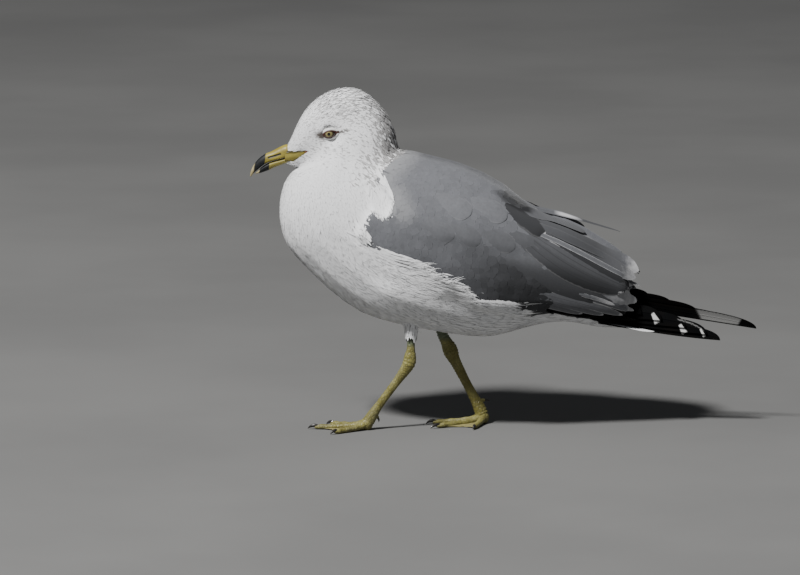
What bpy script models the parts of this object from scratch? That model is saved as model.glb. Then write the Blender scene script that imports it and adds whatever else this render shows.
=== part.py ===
"""Ring-billed gull (adult, winter), life size, walking with its neck drawn in: one still model.

Millimetres are used below and turned into metres when a mesh is made.  The bill points to -X,
the bird's left side is at -Y and +Z is up.  The last step puts the bottom centre of the whole
bird's box at the origin.
"""
import math

import bpy
from mathutils import Matrix, Vector

MM = 0.001
CLEAR = 0.35          # gap between neighbouring parts
BODY_RING = 20        # points round a section of head, neck, trunk and wings
EYE_X, EYE_Y, EYE_Z = -147.5, 16.2, 256.2
EYE_RADIUS = 5.9
WING_SPLIT = 1.6      # half of the slot between left and right wing over the rump
FEATHER = 1.2         # thickness of one flight feather
LEFT, RIGHT = -1, 1

# Stations of the body: back point x, z; belly point x, z; half width; height of the widest
# place (0 belly, 1 back); fullness of the curve (2 is an ellipse).
HEAD = (
    (-184.2, 242.8, -185.4, 225.6, 5.3, 0.50, 2.2),
    (-181.4, 247.6, -179.6, 225.2, 8.2, 0.50, 2.2),
    (-177.6, 256.0, -176.0, 225.4, 11.8, 0.50, 2.2),
    (-172.0, 267.4, -173.6, 225.3, 14.8, 0.52, 2.2),
    (-162.9, 279.2, -172.8, 225.0, 16.8, 0.54, 2.2),
    (-148.6, 288.4, -172.5, 224.6, 18.4, 0.55, 2.2),
    (-132.3, 292.0, -172.4, 224.1, 19.6, 0.56, 2.2),
    (-116.8, 287.6, -172.4, 223.7, 21.4, 0.56, 2.15),
    (-104.4, 276.2, -172.6, 223.3, 24.2, 0.53, 2.1),
    (-95.8, 263.4, -173.4, 222.7, 27.6, 0.48, 2.1),
)
NECK = (
    (-91.8, 251.6, -179.5, 220.2, 30.2, 0.46, 2.1),
    (-90.2, 243.9, -185.2, 213.4, 33.2, 0.45, 2.1),
    (-88.9, 240.4, -189.2, 201.2, 36.4, 0.45, 2.1),
    (-86.2, 238.4, -190.8, 187.0, 39.4, 0.45, 2.1),
)
TRUNK = (
    (-80.0, 236.6, -189.0, 171.4, 42.2, 0.47, 2.1),
    (-70.4, 233.6, -182.8, 155.2, 45.0, 0.48, 2.1),
    (-57.2, 229.8, -168.4, 138.4, 48.0, 0.50, 2.1),
    (-40.2, 224.6, -147.2, 118.0, 51.0, 0.50, 2.1),
    (-21.4, 216.6, -122.4, 100.0, 53.0, 0.50, 2.1),
    (-3.4, 206.2, -96.4, 90.8, 53.5, 0.50, 2.1),
    (12.5, 192.6, -66.0, 84.4, 52.0, 0.50, 2.1),
    (26.0, 177.0, -36.0, 79.6, 48.0, 0.50, 2.1),
    (39.0, 160.0, -10.0, 78.9, 42.0, 0.50, 2.1),
    (50.0, 144.0, 14.0, 85.4, 34.5, 0.50, 2.1),
    (60.0, 130.0, 38.0, 90.8, 26.5, 0.50, 2.1),
    (72.0, 118.0, 58.0, 91.4, 18.5, 0.50, 2.1),
    (85.0, 107.0, 78.0, 87.2, 12.5, 0.50, 2.1),
    (96.0, 99.0, 92.0, 86.4, 9.0, 0.50, 2.1),
)
# How far mantle and wings stand out over the trunk, station by station: up, sideways.
COAT = ((1.2, 2.0), (2.2, 3.6), (2.8, 5.0), (3.2, 6.2), (3.6, 7.0), (3.8, 7.4), (3.8, 7.4),
        (4.4, 7.6))
# The folded wings behind the trunk's widest place, as one roof.
WING_ROOF = (
    (33.0, 186.0, -34.0, 84.0, 57.0, 0.48, 2.1),
    (52.0, 180.5, -4.0, 86.0, 52.0, 0.48, 2.1),
    (70.0, 171.5, 26.0, 89.0, 44.5, 0.48, 2.1),
    (88.0, 160.0, 56.0, 91.0, 36.0, 0.48, 2.1),
    (103.0, 149.0, 84.0, 93.0, 27.0, 0.48, 2.1),
    (112.5, 140.5, 106.0, 98.0, 18.5, 0.48, 2.1),
    (117.5, 133.0, 117.0, 108.0, 11.0, 0.48, 2.1),
)
ROOF_SHELL = (15.0, 12.0, 9.5, 7.5, 5.5, 4.2, 3.2)     # thickness of the roof, same order
ROOF_HINGE = 20.0                                      # the wings differ behind this x
ROOF_LIFT = {LEFT: -0.085, RIGHT: 0.02}                # rise per mm behind it

# Outlines of the feather groups seen from the side (x, z).
SCAPULAR_EDGE = ((-97.0, 190.0), (-88.0, 180.5), (-78.0, 173.5), (-66.9, 170.0), (-60.0, 172.0),
                 (-54.0, 170.0), (-45.0, 172.6), (-37.0, 169.6), (-28.6, 167.5), (-20.0, 165.5),
                 (-11.6, 162.6), (-2.0, 164.0), (5.0, 161.6), (14.0, 162.6), (24.0, 167.0),
                 (31.8, 173.6))
MANTLE_FRONT = ((-86.0, 262.0), (-91.0, 238.0), (-101.0, 229.0), (-109.0, 219.0),
                (-104.0, 213.5), (-97.0, 207.0), (-93.0, 198.0))
MANTLE_TOP = ((27.0, 205.0), (-20.0, 245.0), (-60.0, 262.0))
TERTIAL_EDGE = ((31.8, 166.5), (48.0, 150.0), (65.0, 134.0), (82.0, 127.4), (99.0, 122.8),
                (120.0, 119.0))
TERTIAL_TOP = ((135.0, 125.0), (135.0, 160.0), (90.0, 200.0), (32.0, 215.0), (27.6, 205.0))
WING_LOWER = ((122.0, 112.0), (114.0, 106.6), (100.0, 104.8), (88.0, 103.0), (76.0, 99.6),
              (58.0, 101.4), (39.4, 105.0), (22.0, 101.5), (9.6, 101.4), (-8.0, 106.0),
              (-24.4, 113.8), (-30.0, 120.0), (-34.6, 127.5), (-45.6, 133.0), (-56.7, 138.4),
              (-62.6, 146.0), (-77.9, 151.3), (-88.1, 154.2), (-100.9, 161.6), (-113.6, 167.6))
WING_FRONT = ((-125.0, 171.5), (-121.0, 178.0), (-115.5, 190.0), (-110.0, 194.5),
              (-103.0, 187.5))

UPPER_BILL = (
    (-180.4, 241.2, -179.4, 234.6, 4.0, 0.30, 2.2),
    (-184.2, 243.2, -182.6, 233.0, 5.5, 0.25, 2.2),
    (-190.1, 241.0, -188.2, 231.3, 5.2, 0.22, 2.2),
    (-196.9, 237.4, -195.0, 229.5, 4.6, 0.22, 2.2),
    (-202.6, 235.0, -200.6, 227.6, 4.0, 0.24, 2.1),
    (-208.0, 230.9, -205.0, 224.8, 3.2, 0.28, 2.0),
    (-212.3, 225.3, -208.8, 221.6, 2.4, 0.34, 2.0),
    (-214.6, 219.9, -212.3, 218.4, 1.5, 0.42, 2.0),
    (-215.2, 216.2, -214.4, 215.6, 0.7, 0.50, 2.0),
)
LOWER_BILL = (
    (-178.8, 233.4, -178.3, 230.4, 3.6, 0.62, 2.2),
    (-182.5, 232.4, -182.3, 228.4, 4.7, 0.66, 2.2),
    (-188.1, 230.6, -187.8, 226.3, 4.5, 0.66, 2.2),
    (-195.0, 228.8, -194.4, 223.8, 4.0, 0.66, 2.2),
    (-200.2, 226.9, -198.8, 221.6, 3.4, 0.64, 2.1),
    (-204.6, 224.2, -203.4, 219.9, 2.8, 0.60, 2.0),
    (-208.0, 221.0, -207.6, 218.6, 2.0, 0.55, 2.0),
    (-210.6, 219.0, -210.4, 218.2, 1.0, 0.50, 2.0),
)

# Primaries of one wing, longest first: tip x, tip z.
PRIMARIES = {
    LEFT: ((184.0, 75.6), (172.5, 81.2), (154.5, 87.0), (134.0, 93.5), (117.0, 99.0)),
    RIGHT: ((215.2, 84.4), (199.0, 91.0), (176.0, 98.0), (154.0, 104.5), (134.0, 110.5)),
}
# Front end of the lower edge of the longest primary: x, z.
PRIMARY_EDGE = {
    LEFT: (80.0, 94.0), RIGHT: (80.0, 106.5),
}
PRIMARY_WIDTH = (10.4, 11.5, 12.5, 13.5, 14.5)
PRIMARY_RISE = 1.9                # each next feather starts this much higher
PRIMARY_STACK = 0.9
PRIMARY_Y = ((80.0, 12.6), (95.0, 7.6), (108.0, 3.8), (118.0, 2.2), (216.0, 1.8))

TAIL_ROOT = (78.0, 92.3)          # x, z of the fan's root on the centre line
TAIL_TIP_X = 129.5
TAIL_DROP = 10.0                  # degrees below level
TAIL_FEATHERS = 6                 # on each side
TAIL_ROOT_HALF = 5.0              # half width of the fan at its root
TAIL_SPREAD = 20.0                # degrees of the outermost feather
TAIL_THICK, TAIL_TIP_THICK = 2.2, 1.3
TAIL_SINK = 0.8                   # how much lower the outermost feathers lie

# Legs: x, y, z of the path from the feathered shank to the toe joint; half depth, half width.
LEG_PATH = {
    LEFT: ((-78.8, -15.6, 78.6, 2.9, 2.5), (-79.0, -15.4, 69.0, 3.0, 2.5),
           (-79.6, -15.2, 62.5, 4.4, 3.3), (-80.6, -15.0, 57.0, 4.8, 3.6),
           (-84.2, -14.8, 51.0, 3.9, 2.9), (-91.0, -14.6, 42.0, 3.4, 2.4),
           (-99.0, -14.2, 31.0, 3.2, 2.3), (-107.0, -13.8, 19.6, 3.3, 2.4),
           (-112.6, -13.4, 12.0, 3.8, 3.0), (-115.0, -13.1, 8.4, 3.6, 2.9)),
    RIGHT: ((-49.2, 17.4, 71.0, 3.5, 2.7), (-46.8, 17.2, 67.0, 4.4, 3.2),
            (-44.8, 17.2, 62.0, 5.0, 3.7), (-42.2, 17.2, 56.0, 4.3, 3.1),
            (-37.2, 17.4, 46.0, 3.7, 2.6), (-31.6, 17.6, 35.0, 3.4, 2.4),
            (-25.6, 17.8, 23.0, 3.5, 2.5), (-20.6, 18.0, 13.5, 4.0, 3.0),
            (-18.4, 18.0, 9.2, 3.7, 3.0)),
}
SHANK_PATH = {
    LEFT: ((-78.8, -15.6, 77.4, 3.6, 3.3), (-78.9, -15.8, 84.0, 4.7, 4.4),
           (-78.8, -16.4, 92.0, 6.2, 6.2), (-76.5, -19.0, 104.0, 11.0, 10.0),
           (-74.0, -22.0, 116.0, 14.0, 12.0)),
    RIGHT: ((-49.9, 17.4, 70.2, 4.2, 3.8), (-52.4, 17.6, 78.0, 5.6, 5.2),
            (-55.0, 18.2, 88.0, 7.6, 7.0), (-58.0, 20.0, 100.0, 11.0, 10.0),
            (-60.0, 22.0, 112.0, 14.0, 12.0)),
}
TOE_JOINT = {LEFT: (-116.4, -13.0, 5.0), RIGHT: (-17.2, 18.0, 5.2)}
JOINT_RADIUS = 4.5
# Claw tips on the floor: inner, middle, outer toe (x, y).
TOE_TIPS = {
    LEFT: ((-151.0, 10.0), (-166.6, -10.0), (-147.0, -38.0)),
    RIGHT: ((-26.0, -16.0), (-62.0, -10.0), (-66.0, 12.0)),
}
TOE_RADIUS = 2.9
WEB_LOW, WEB_HIGH = 0.3, 1.8
HALLUX = {LEFT: ((-110.4, -13.4, 13.0, 2.0, 1.9), (-108.2, -12.8, 11.6, 1.7, 1.6),
                 (-106.6, -12.4, 9.2, 1.2, 1.1), (-106.4, -12.2, 6.8, 0.5, 0.5)),
          RIGHT: ((-22.4, 18.0, 18.6, 2.0, 1.9), (-18.4, 18.6, 19.8, 1.7, 1.6),
                  (-14.4, 19.0, 20.2, 1.2, 1.1), (-11.0, 19.2, 18.8, 0.5, 0.5))}

COLOURS = {
    "head": (0.80, 0.80, 0.80), "neck": (0.78, 0.78, 0.78), "trunk": (0.76, 0.76, 0.75),
    "mantle": (0.36, 0.38, 0.42), "wing": (0.30, 0.32, 0.35), "tertials": (0.34, 0.36, 0.39),
    "primaries": (0.03, 0.03, 0.03), "tail": (0.82, 0.82, 0.82), "shank": (0.72, 0.71, 0.68),
    "leg": (0.55, 0.52, 0.14), "foot": (0.60, 0.56, 0.16), "eye": (0.75, 0.70, 0.42),
    "bill": (0.80, 0.66, 0.18),
}


def collection(name):
    made = bpy.data.collections.new(name)
    bpy.context.scene.collection.children.link(made)
    return made


def spline(rows, per_span):
    """Rows of numbers joined smoothly (Catmull-Rom), per_span steps from row to row."""
    out = []
    last = len(rows) - 1
    for i in range(last):
        a, b = rows[max(i - 1, 0)], rows[i]
        c, d = rows[i + 1], rows[min(i + 2, last)]
        for k in range(per_span):
            t = k / per_span
            out.append(tuple(0.5 * (2 * q + (r - p) * t + (2 * p - 5 * q + 4 * r - s) * t * t
                                    + (3 * q - p - 3 * r + s) * t ** 3)
                             for p, q, r, s in zip(a, b, c, d)))
    out.append(tuple(rows[-1]))
    return out


def follow(points, x):
    """Second value of a polyline of pairs at x."""
    for (x0, v0), (x1, v1) in zip(points, points[1:]):
        if x <= x1:
            return v0 + (v1 - v0) * max(x - x0, 0.0) / (x1 - x0)
    return points[-1][1]


def section(row, grow=0.0, count=BODY_RING):
    """One ring of the body: a rounded outline from belly point to back point."""
    bx, bz, vx, vz, half, widest, full = row
    back, belly = Vector((bx, 0, bz)), Vector((vx, 0, vz))
    axis = (back - belly).normalized()
    centre = belly.lerp(back, widest)
    up, down = (back - centre).length + grow, (centre - belly).length + grow
    ring = []
    for k in range(count):
        a = 2 * math.pi * k / count
        c, s = math.cos(a), math.sin(a)
        u = math.copysign(abs(c) ** (2 / full), c)
        v = math.copysign(abs(s) ** (2 / full), s)
        ring.append(centre + axis * u * (up if u > 0 else down)
                    + Vector((0, 1, 0)) * v * (half + grow))
    return ring


def tube_rings(path, count=12, level=False):
    """Rings round a path of (x, y, z, half depth, half width); level for paths along the floor."""
    rings = []
    points = [Vector(p[:3]) for p in path]
    for i, p in enumerate(path):
        ahead = points[min(i + 1, len(points) - 1)] - points[max(i - 1, 0)]
        along = ahead.normalized()
        side = along.cross(Vector((0, 0, 1))) if level else Vector((0, 1, 0)) - along * along.y
        side.normalize()
        deep = along.cross(side)
        rings.append([points[i] + deep * p[3] * math.cos(2 * math.pi * k / count)
                      + side * p[4] * math.sin(2 * math.pi * k / count) for k in range(count)])
    return rings


def loft(rings):
    """Vertices and faces of the closed solid through the rings, with flat ends."""
    n = len(rings[0])
    verts = [tuple(p) for ring in rings for p in ring]
    faces = []
    for i in range(len(rings) - 1):
        for k in range(n):
            a, b = i * n + k, i * n + (k + 1) % n
            faces.append((a, b, b + n, a + n))
    faces.append(tuple(reversed(range(n))))
    faces.append(tuple(range(len(verts) - n, len(verts))))
    return verts, faces


def prism(outline, y_low, y_high):
    """Side outline (x, z) drawn out from y_low to y_high."""
    n = len(outline)
    verts = [(x, y_low, z) for x, z in outline] + [(x, y_high, z) for x, z in outline]
    faces = [(k, (k + 1) % n, (k + 1) % n + n, k + n) for k in range(n)]
    faces += [tuple(reversed(range(n))), tuple(range(n, 2 * n))]
    return verts, faces


def slab(outline, z_low, z_high):
    """Plan outline (x, y) drawn up from z_low to z_high."""
    n = len(outline)
    verts = [(x, y, z_low) for x, y in outline] + [(x, y, z_high) for x, y in outline]
    faces = [(k, (k + 1) % n, (k + 1) % n + n, k + n) for k in range(n)]
    faces += [tuple(reversed(range(n))), tuple(range(n, 2 * n))]
    return verts, faces


def body(name, shape, group, colour=None):
    """Object of one closed shape, its faces turned outwards."""
    import bmesh
    verts, faces = shape
    mesh = bpy.data.meshes.new(name)
    mesh.from_pydata([[c * MM for c in v] for v in verts], [], faces)
    bm = bmesh.new()
    bm.from_mesh(mesh)
    bmesh.ops.remove_doubles(bm, verts=bm.verts, dist=0.02 * MM)
    bmesh.ops.recalc_face_normals(bm, faces=bm.faces)
    bm.to_mesh(mesh)
    bm.free()
    ob = bpy.data.objects.new(name, mesh)
    group.objects.link(ob)
    if colour is None:
        ob.hide_render = True
        ob.display_type = "WIRE"
    else:
        paint = bpy.data.materials.new(name + "_surface")
        paint.use_nodes = True
        shader = paint.node_tree.nodes["Principled BSDF"]
        shader.inputs["Base Color"].default_value = (*colour, 1.0)
        shader.inputs["Roughness"].default_value = 0.7
        mesh.materials.append(paint)
    return ob


def combine(target, other, operation):
    step = target.modifiers.new(operation.lower(), "BOOLEAN")
    step.operation = operation
    step.object = other
    step.solver = "EXACT"


def ball(centre, radius, steps=12, rings=8):
    """Closed ball as a loft between two small caps."""
    rows = []
    for i in range(rings + 1):
        a = math.pi * min(max(i / rings, 0.02), 0.98)
        rows.append([Vector(centre) + radius * Vector((math.sin(a) * math.cos(b),
                                                       math.cos(a),
                                                       math.sin(a) * math.sin(b)))
                     for b in (2 * math.pi * k / steps for k in range(steps))])
    return loft(rows)


def lifted(points, side):
    """Side outline or ring carried along with one wing's own rise behind the hinge."""
    rise = ROOF_LIFT[side]
    out = []
    for p in points:
        p = list(p)
        p[-1] += rise * max(p[0] - ROOF_HINGE, 0.0)
        out.append(tuple(p))
    return out


def coat_rows():
    """Stations of the mantle and wing surface over the trunk, then the roof behind it."""
    rows = []
    for row, (rise, out) in zip((NECK[-1],) + TRUNK, COAT):
        back, belly = Vector((row[0], 0, row[1])), Vector((row[2], 0, row[3]))
        axis = (back - belly).normalized()
        back, belly = back + axis * rise, belly + axis * 3.0
        rows.append((back.x, back.z, belly.x, belly.z, row[4] + out, row[5] - 0.01, row[6]))
    return rows + list(WING_ROOF)


def hollow_rows():
    """Space under the wing roof, open below and behind."""
    rows = []
    for row, shell in zip(WING_ROOF, ROOF_SHELL):
        back, belly = Vector((row[0], 0, row[1])), Vector((row[2], 0, row[3]))
        axis = (back - belly).normalized()
        centre = belly.lerp(back, row[5])
        back, belly = back - axis * shell, belly - axis * 25.0
        widest = (centre - belly).length / (back - belly).length
        rows.append((back.x, back.z, belly.x, belly.z, row[4] - shell, widest, row[6]))
    tail = list(rows[-1])
    for i, shift in ((0, 14.0), (1, -9.0), (2, 14.0)):
        tail[i] += shift
    return rows + [tuple(tail)]


def feather_outline(root, tip, width, count=8):
    """Outline of one flight feather in the side plane: straight below, rounded to the tip above."""
    root, tip = Vector(root), Vector(tip)
    along = (tip - root).normalized()
    across = Vector((-along.y, along.x))
    length = (tip - root).length
    upper, lower = [], []
    for k in range(count):
        s = 1.0 - (1.0 - k / (count - 1)) ** 1.6
        high = max(width * math.sqrt(max(1.0 - s ** 6, 0.0)), 1.2)
        point = root + along * s * length
        upper.append(tuple(point + across * high))
        lower.append(tuple(point))
    return upper + lower[::-1]


def bent_plate(outline, side, inward):
    """Upright plate of one primary, following the folded wing tip in towards the tail."""
    n = len(outline)
    verts = []
    for thick in (0.0, FEATHER):
        for x, z in outline:
            y = follow(PRIMARY_Y, x) + inward + thick
            verts.append((x, side * y, z))
    faces = [(k, (k + 1) % n, (k + 1) % n + n, k + n) for k in range(n)]
    half = n // 2
    for k in range(half - 1):
        a, b, c, d = k, k + 1, n - 2 - k, n - 1 - k
        faces.append((a, b, c, d))
        faces.append((a + n, b + n, c + n, d + n))
    return verts, faces


def primaries(side, name, parts, cutters):
    """Stack of overlapping primaries: the longest innermost, shorter ones outside it."""
    start_x, start_z = PRIMARY_EDGE[side]
    made = None
    for k, (tip, width) in enumerate(zip(PRIMARIES[side], PRIMARY_WIDTH)):
        root = (start_x - 0.4 * k, start_z + PRIMARY_RISE * k)
        shape = bent_plate(feather_outline(root, tip, width), side, PRIMARY_STACK * k)
        if made is None:
            made = body(name, shape, parts, COLOURS["primaries"])
        else:
            combine(made, body(name + "_blade", shape, cutters), "UNION")
    return made


def tail(parts):
    """Closed fan of twelve tail feathers with rounded tips, its outer feathers lower."""
    drop = Matrix.Rotation(math.radians(TAIL_DROP), 3, "Y")
    length = (TAIL_TIP_X - TAIL_ROOT[0]) / math.cos(math.radians(TAIL_DROP))
    steps = 2 * TAIL_FEATHERS
    rows = []
    for k in range(2 * steps + 1):
        share = k / steps - 1.0
        turn = math.radians(TAIL_SPREAD) * share
        reach = length - 3.6 * share ** 2 - (0.0 if k % 2 else 1.3)
        sink = TAIL_SINK * abs(share) ** 1.5
        row = []
        for s, z in ((0.0, 0.0), (0.5, 0.0), (1.0, 0.0),
                     (1.0, -TAIL_TIP_THICK), (0.5, -TAIL_THICK), (0.0, -TAIL_THICK)):
            spread = TAIL_ROOT_HALF * share + reach * s * math.sin(turn)
            p = drop @ Vector((reach * s * math.cos(turn), spread, z - sink * (0.4 + 0.6 * s)))
            row.append((p.x + TAIL_ROOT[0], p.y, p.z + TAIL_ROOT[1]))
        rows.append(row)
    return body("tail", loft(rows), parts, COLOURS["tail"])


def toe_path(joint, tip):
    """Path and radii of one toe with its claw, from the joint to the claw tip."""
    jx, jy, jz = joint
    reach = Vector((tip[0] - jx, tip[1] - jy))
    rows = []
    for s, z, r in ((0.0, jz, 3.4), (0.20, 2.7, TOE_RADIUS), (0.42, 2.5, 2.7),
                    (0.64, 2.3, 2.5), (0.83, 2.3, 2.2), (0.90, 2.7, 1.4), (0.95, 2.2, 0.95),
                    (1.0, 0.9, 0.4)):
        rows.append((jx + reach.x * s, jy + reach.y * s, z, r, r * 0.95))
    return rows


def foot(side, name, parts, cutters):
    """Three webbed front toes from one joint, their soles flat at the floor."""
    joint, tips = TOE_JOINT[side], TOE_TIPS[side]
    made = body(name, ball(joint, JOINT_RADIUS, 10, 6), parts, COLOURS["foot"])
    for tip in tips:
        rings = [[Vector((p.x, p.y, max(p.z, 0.0))) for p in ring]
                 for ring in tube_rings(toe_path(joint, tip), 8, True)]
        toe = body(name + "_toe", loft(rings), cutters)
        combine(made, toe, "UNION")
    start = Vector(joint[:2])
    reach = [Vector(tip) - start for tip in tips]
    outline = [start]
    for a, b in zip(reach, reach[1:]):
        outline.append(start + a * 0.80)
        outline += [start + a.lerp(b, t) * (0.80 - 0.62 * t * (1 - t)) for t in (0.2, 0.4, 0.6, 0.8)]
    outline.append(start + reach[-1] * 0.80)
    web = body(name + "_web", slab([tuple(p) for p in outline], WEB_LOW, WEB_HIGH), cutters)
    combine(made, web, "UNION")
    return made


def leg(side, name, parts, cutters):
    """Bare lower shank, ankle and tarsus, with the small hind toe."""
    rings = tube_rings(spline(LEG_PATH[side], 2), 10)
    made = body(name, loft(rings), parts, COLOURS["leg"])
    hind = body(name + "_hind_toe", loft(tube_rings(spline(HALLUX[side], 2), 8)), cutters)
    combine(made, hind, "UNION")
    return made


def grown_path(path, grow):
    """Path with thicker radii and both ends drawn out."""
    rows = [list(p) for p in path]
    for end, inner in ((0, 1), (-1, -2)):
        away = Vector(rows[end][:3]) - Vector(rows[inner][:3])
        away = away.normalized() * grow
        for i in range(3):
            rows[end][i] += away[i]
    return [(x, y, z, a + grow, b + grow) for x, y, z, a, b in rows]


def centre_on_floor(parts, cutters):
    """Move every mesh so that the whole bird's box has its bottom centre at the origin."""
    graph = bpy.context.evaluated_depsgraph_get()
    low, high = Vector((9, 9, 9)), Vector((-9, -9, -9))
    for ob in parts.objects:
        mesh = ob.evaluated_get(graph).to_mesh()
        for vert in mesh.vertices:
            for i in range(3):
                low[i] = min(low[i], vert.co[i])
                high[i] = max(high[i], vert.co[i])
        ob.evaluated_get(graph).to_mesh_clear()
    shift = Matrix.Translation((-(low.x + high.x) / 2, -(low.y + high.y) / 2, -low.z))
    for ob in list(parts.objects) + list(cutters.objects):
        ob.data.transform(shift)
    print("moved by", [round(v / MM, 3) for v in shift.to_translation()])
    print("box", [round((b - a) / MM, 2) for a, b in zip(low, high)])


def build():
    for ob in list(bpy.data.objects):
        bpy.data.objects.remove(ob, do_unlink=True)
    parts, cutters = collection("ring_billed_gull"), collection("cutters")
    cutters.hide_render = True

    # Head, neck and trunk: one smooth form, parted by thin gaps.
    form = spline(HEAD + NECK + TRUNK, 2)
    head_end, neck_end = 2 * (len(HEAD) - 1), 2 * (len(HEAD) + len(NECK) - 1)

    def between(first, last, share):
        return tuple(a + (b - a) * share for a, b in zip(form[first], form[last]))

    head = body("head", loft([section(r) for r in form[:head_end]]
                             + [section(between(head_end - 1, head_end, 0.9))]),
                parts, COLOURS["head"])
    neck_rows = ([form[head_end]] + form[head_end + 1:neck_end]
                 + [between(neck_end - 1, neck_end, 0.7)])
    body("neck", loft([section(r) for r in neck_rows]), parts, COLOURS["neck"])
    trunk_rows = form[neck_end:]
    body("trunk", loft([section(r) for r in trunk_rows]), parts, COLOURS["trunk"])
    trunk_cut = body("trunk_clearance", loft([section(r, CLEAR) for r in trunk_rows]), cutters)

    # Eyes in their sockets.
    for side, word in ((LEFT, "left"), (RIGHT, "right")):
        centre = (EYE_X, side * EYE_Y, EYE_Z)
        body(word + "_eye", ball(centre, EYE_RADIUS), parts, COLOURS["eye"])
        combine(head, body(word + "_socket", ball(centre, EYE_RADIUS + CLEAR), cutters),
                "DIFFERENCE")

    # Bill: two halves meeting the front of the face.
    face_cut = body("face_clearance",
                    loft([section(r, CLEAR) for r in [tuple(v + d for v, d in zip(
                        form[0], (-0.35, 0.1, -0.35, 0.1, 0, 0, 0)))] + form[1:10]]), cutters)
    for name, rows in (("upper_bill", UPPER_BILL), ("lower_bill", LOWER_BILL)):
        half = body(name, loft([section(r, count=12) for r in spline(rows, 2)]), parts,
                    COLOURS["bill"])
        combine(half, face_cut, "DIFFERENCE")

    # Mantle with the scapulars, lying over the trunk.
    coat = coat_rows()
    outline = MANTLE_FRONT + SCAPULAR_EDGE + MANTLE_TOP
    mantle = body("mantle", loft([section(r, 1.1) for r in coat]), parts, COLOURS["mantle"])
    combine(mantle, body("mantle_outline", prism(outline, -95, 95), cutters), "INTERSECT")
    combine(mantle, trunk_cut, "DIFFERENCE")

    # Wings: coverts with secondaries, tertials above them, primaries behind.
    below = [(x, z - 0.45) for x, z in SCAPULAR_EDGE]
    wing_outline = (list(WING_FRONT) + below[:-1] + [(31.2, 172.5)]
                    + [(x - 0.2, z - 0.25) for x, z in TERTIAL_EDGE] + list(WING_LOWER))
    tertial_outline = ([(SCAPULAR_EDGE[-1][0] + 0.5, SCAPULAR_EDGE[-1][1])]
                       + [(x + 0.2, z + 0.25) for x, z in TERTIAL_EDGE] + list(TERTIAL_TOP))
    tertial_outline[-1] = (tertial_outline[-1][0] + 0.1, tertial_outline[-1][1])
    hollow = hollow_rows()
    for side, word in ((LEFT, "left"), (RIGHT, "right")):
        cavity = body(word + "_wing_hollow",
                      loft([lifted(section(r), side) for r in hollow]), cutters)
        for name, outline in ((word + "_wing", wing_outline),
                              (word + "_tertials", tertial_outline)):
            shape = loft([lifted(section(r), side) for r in coat])
            made = body(name, shape, parts, COLOURS[name.split("_")[1]])
            low, high = sorted((side * WING_SPLIT, side * 95))
            group = body(name + "_outline", prism(lifted(outline, side), low, high), cutters)
            combine(made, group, "INTERSECT")
            combine(made, trunk_cut, "DIFFERENCE")
            combine(made, cavity, "DIFFERENCE")
        blades = primaries(side, word + "_primaries", parts, cutters)
        combine(blades, trunk_cut, "DIFFERENCE")

    combine(tail(parts), trunk_cut, "DIFFERENCE")

    # Legs and webbed feet.
    for side, word in ((LEFT, "left"), (RIGHT, "right")):
        shank = body(word + "_shank", loft(tube_rings(spline(SHANK_PATH[side], 2), 12)), parts,
                     COLOURS["shank"])
        combine(shank, trunk_cut, "DIFFERENCE")
        leg_rows = spline(LEG_PATH[side], 2)
        leg_cut = body(word + "_leg_clearance",
                       loft(tube_rings(grown_path(leg_rows, CLEAR), 10)), cutters)
        combine(shank, leg_cut, "DIFFERENCE")
        leg(side, word + "_leg", parts, cutters)
        toes = foot(side, word + "_foot", parts, cutters)
        combine(toes, leg_cut, "DIFFERENCE")

    centre_on_floor(parts, cutters)


build()
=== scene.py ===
"""Ring-billed gull, adult in winter plumage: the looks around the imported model.

Lengths are in millimetres until a mesh is made.  The bill points to -X, the bird's left side
is at -Y and +Z is up.  Places along the sides are given in the side view: x, and the height
seen from VIEW_ELEVATION above the horizon, which is z - VIEW_SLOPE * |y|.
"""

import math

import bmesh
import bpy
import numpy as np
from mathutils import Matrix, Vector
from mathutils.bvhtree import BVHTree


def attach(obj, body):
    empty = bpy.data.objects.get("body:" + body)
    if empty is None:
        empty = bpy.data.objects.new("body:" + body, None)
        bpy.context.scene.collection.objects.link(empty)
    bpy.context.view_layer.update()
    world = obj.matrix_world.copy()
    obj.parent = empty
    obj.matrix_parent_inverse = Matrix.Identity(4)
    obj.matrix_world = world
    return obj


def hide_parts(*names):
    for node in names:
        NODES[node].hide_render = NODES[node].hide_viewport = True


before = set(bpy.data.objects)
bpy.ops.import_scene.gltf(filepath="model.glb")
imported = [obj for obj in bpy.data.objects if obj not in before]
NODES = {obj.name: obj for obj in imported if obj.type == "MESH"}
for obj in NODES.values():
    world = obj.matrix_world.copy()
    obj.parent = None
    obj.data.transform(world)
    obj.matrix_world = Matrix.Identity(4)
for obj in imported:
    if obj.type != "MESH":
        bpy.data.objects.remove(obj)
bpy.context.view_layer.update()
MM = 0.001
LEFT, RIGHT = -1, 1
WORD = {LEFT: "left", RIGHT: "right"}
RNG = np.random.default_rng(1871)

# --- the bird's own measures --------------------------------------------------------------
WHITE_NODES = ("head", "neck", "trunk", "left_shank", "right_shank")
GREY_NODES = ("mantle", "left_wing", "right_wing", "left_tertials", "right_tertials")
VOXEL = 1.6
GROW = 0.5                        # nodes swell by this before they are joined into one skin
EYE = (-147.5, 16.2, 254.9)
EYE_RADIUS = 5.9
EYE_TILT = math.radians(13.0)     # the rear corner lies higher
LID_A, LID_B = 4.5, 2.3           # half length and half height of the open eye
PATCH = 0.003                     # size of one tuft's patch in the OFBake map
VIEW_ELEVATION = math.radians(9.0)
VIEW_SLOPE = math.tan(VIEW_ELEVATION)

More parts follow.
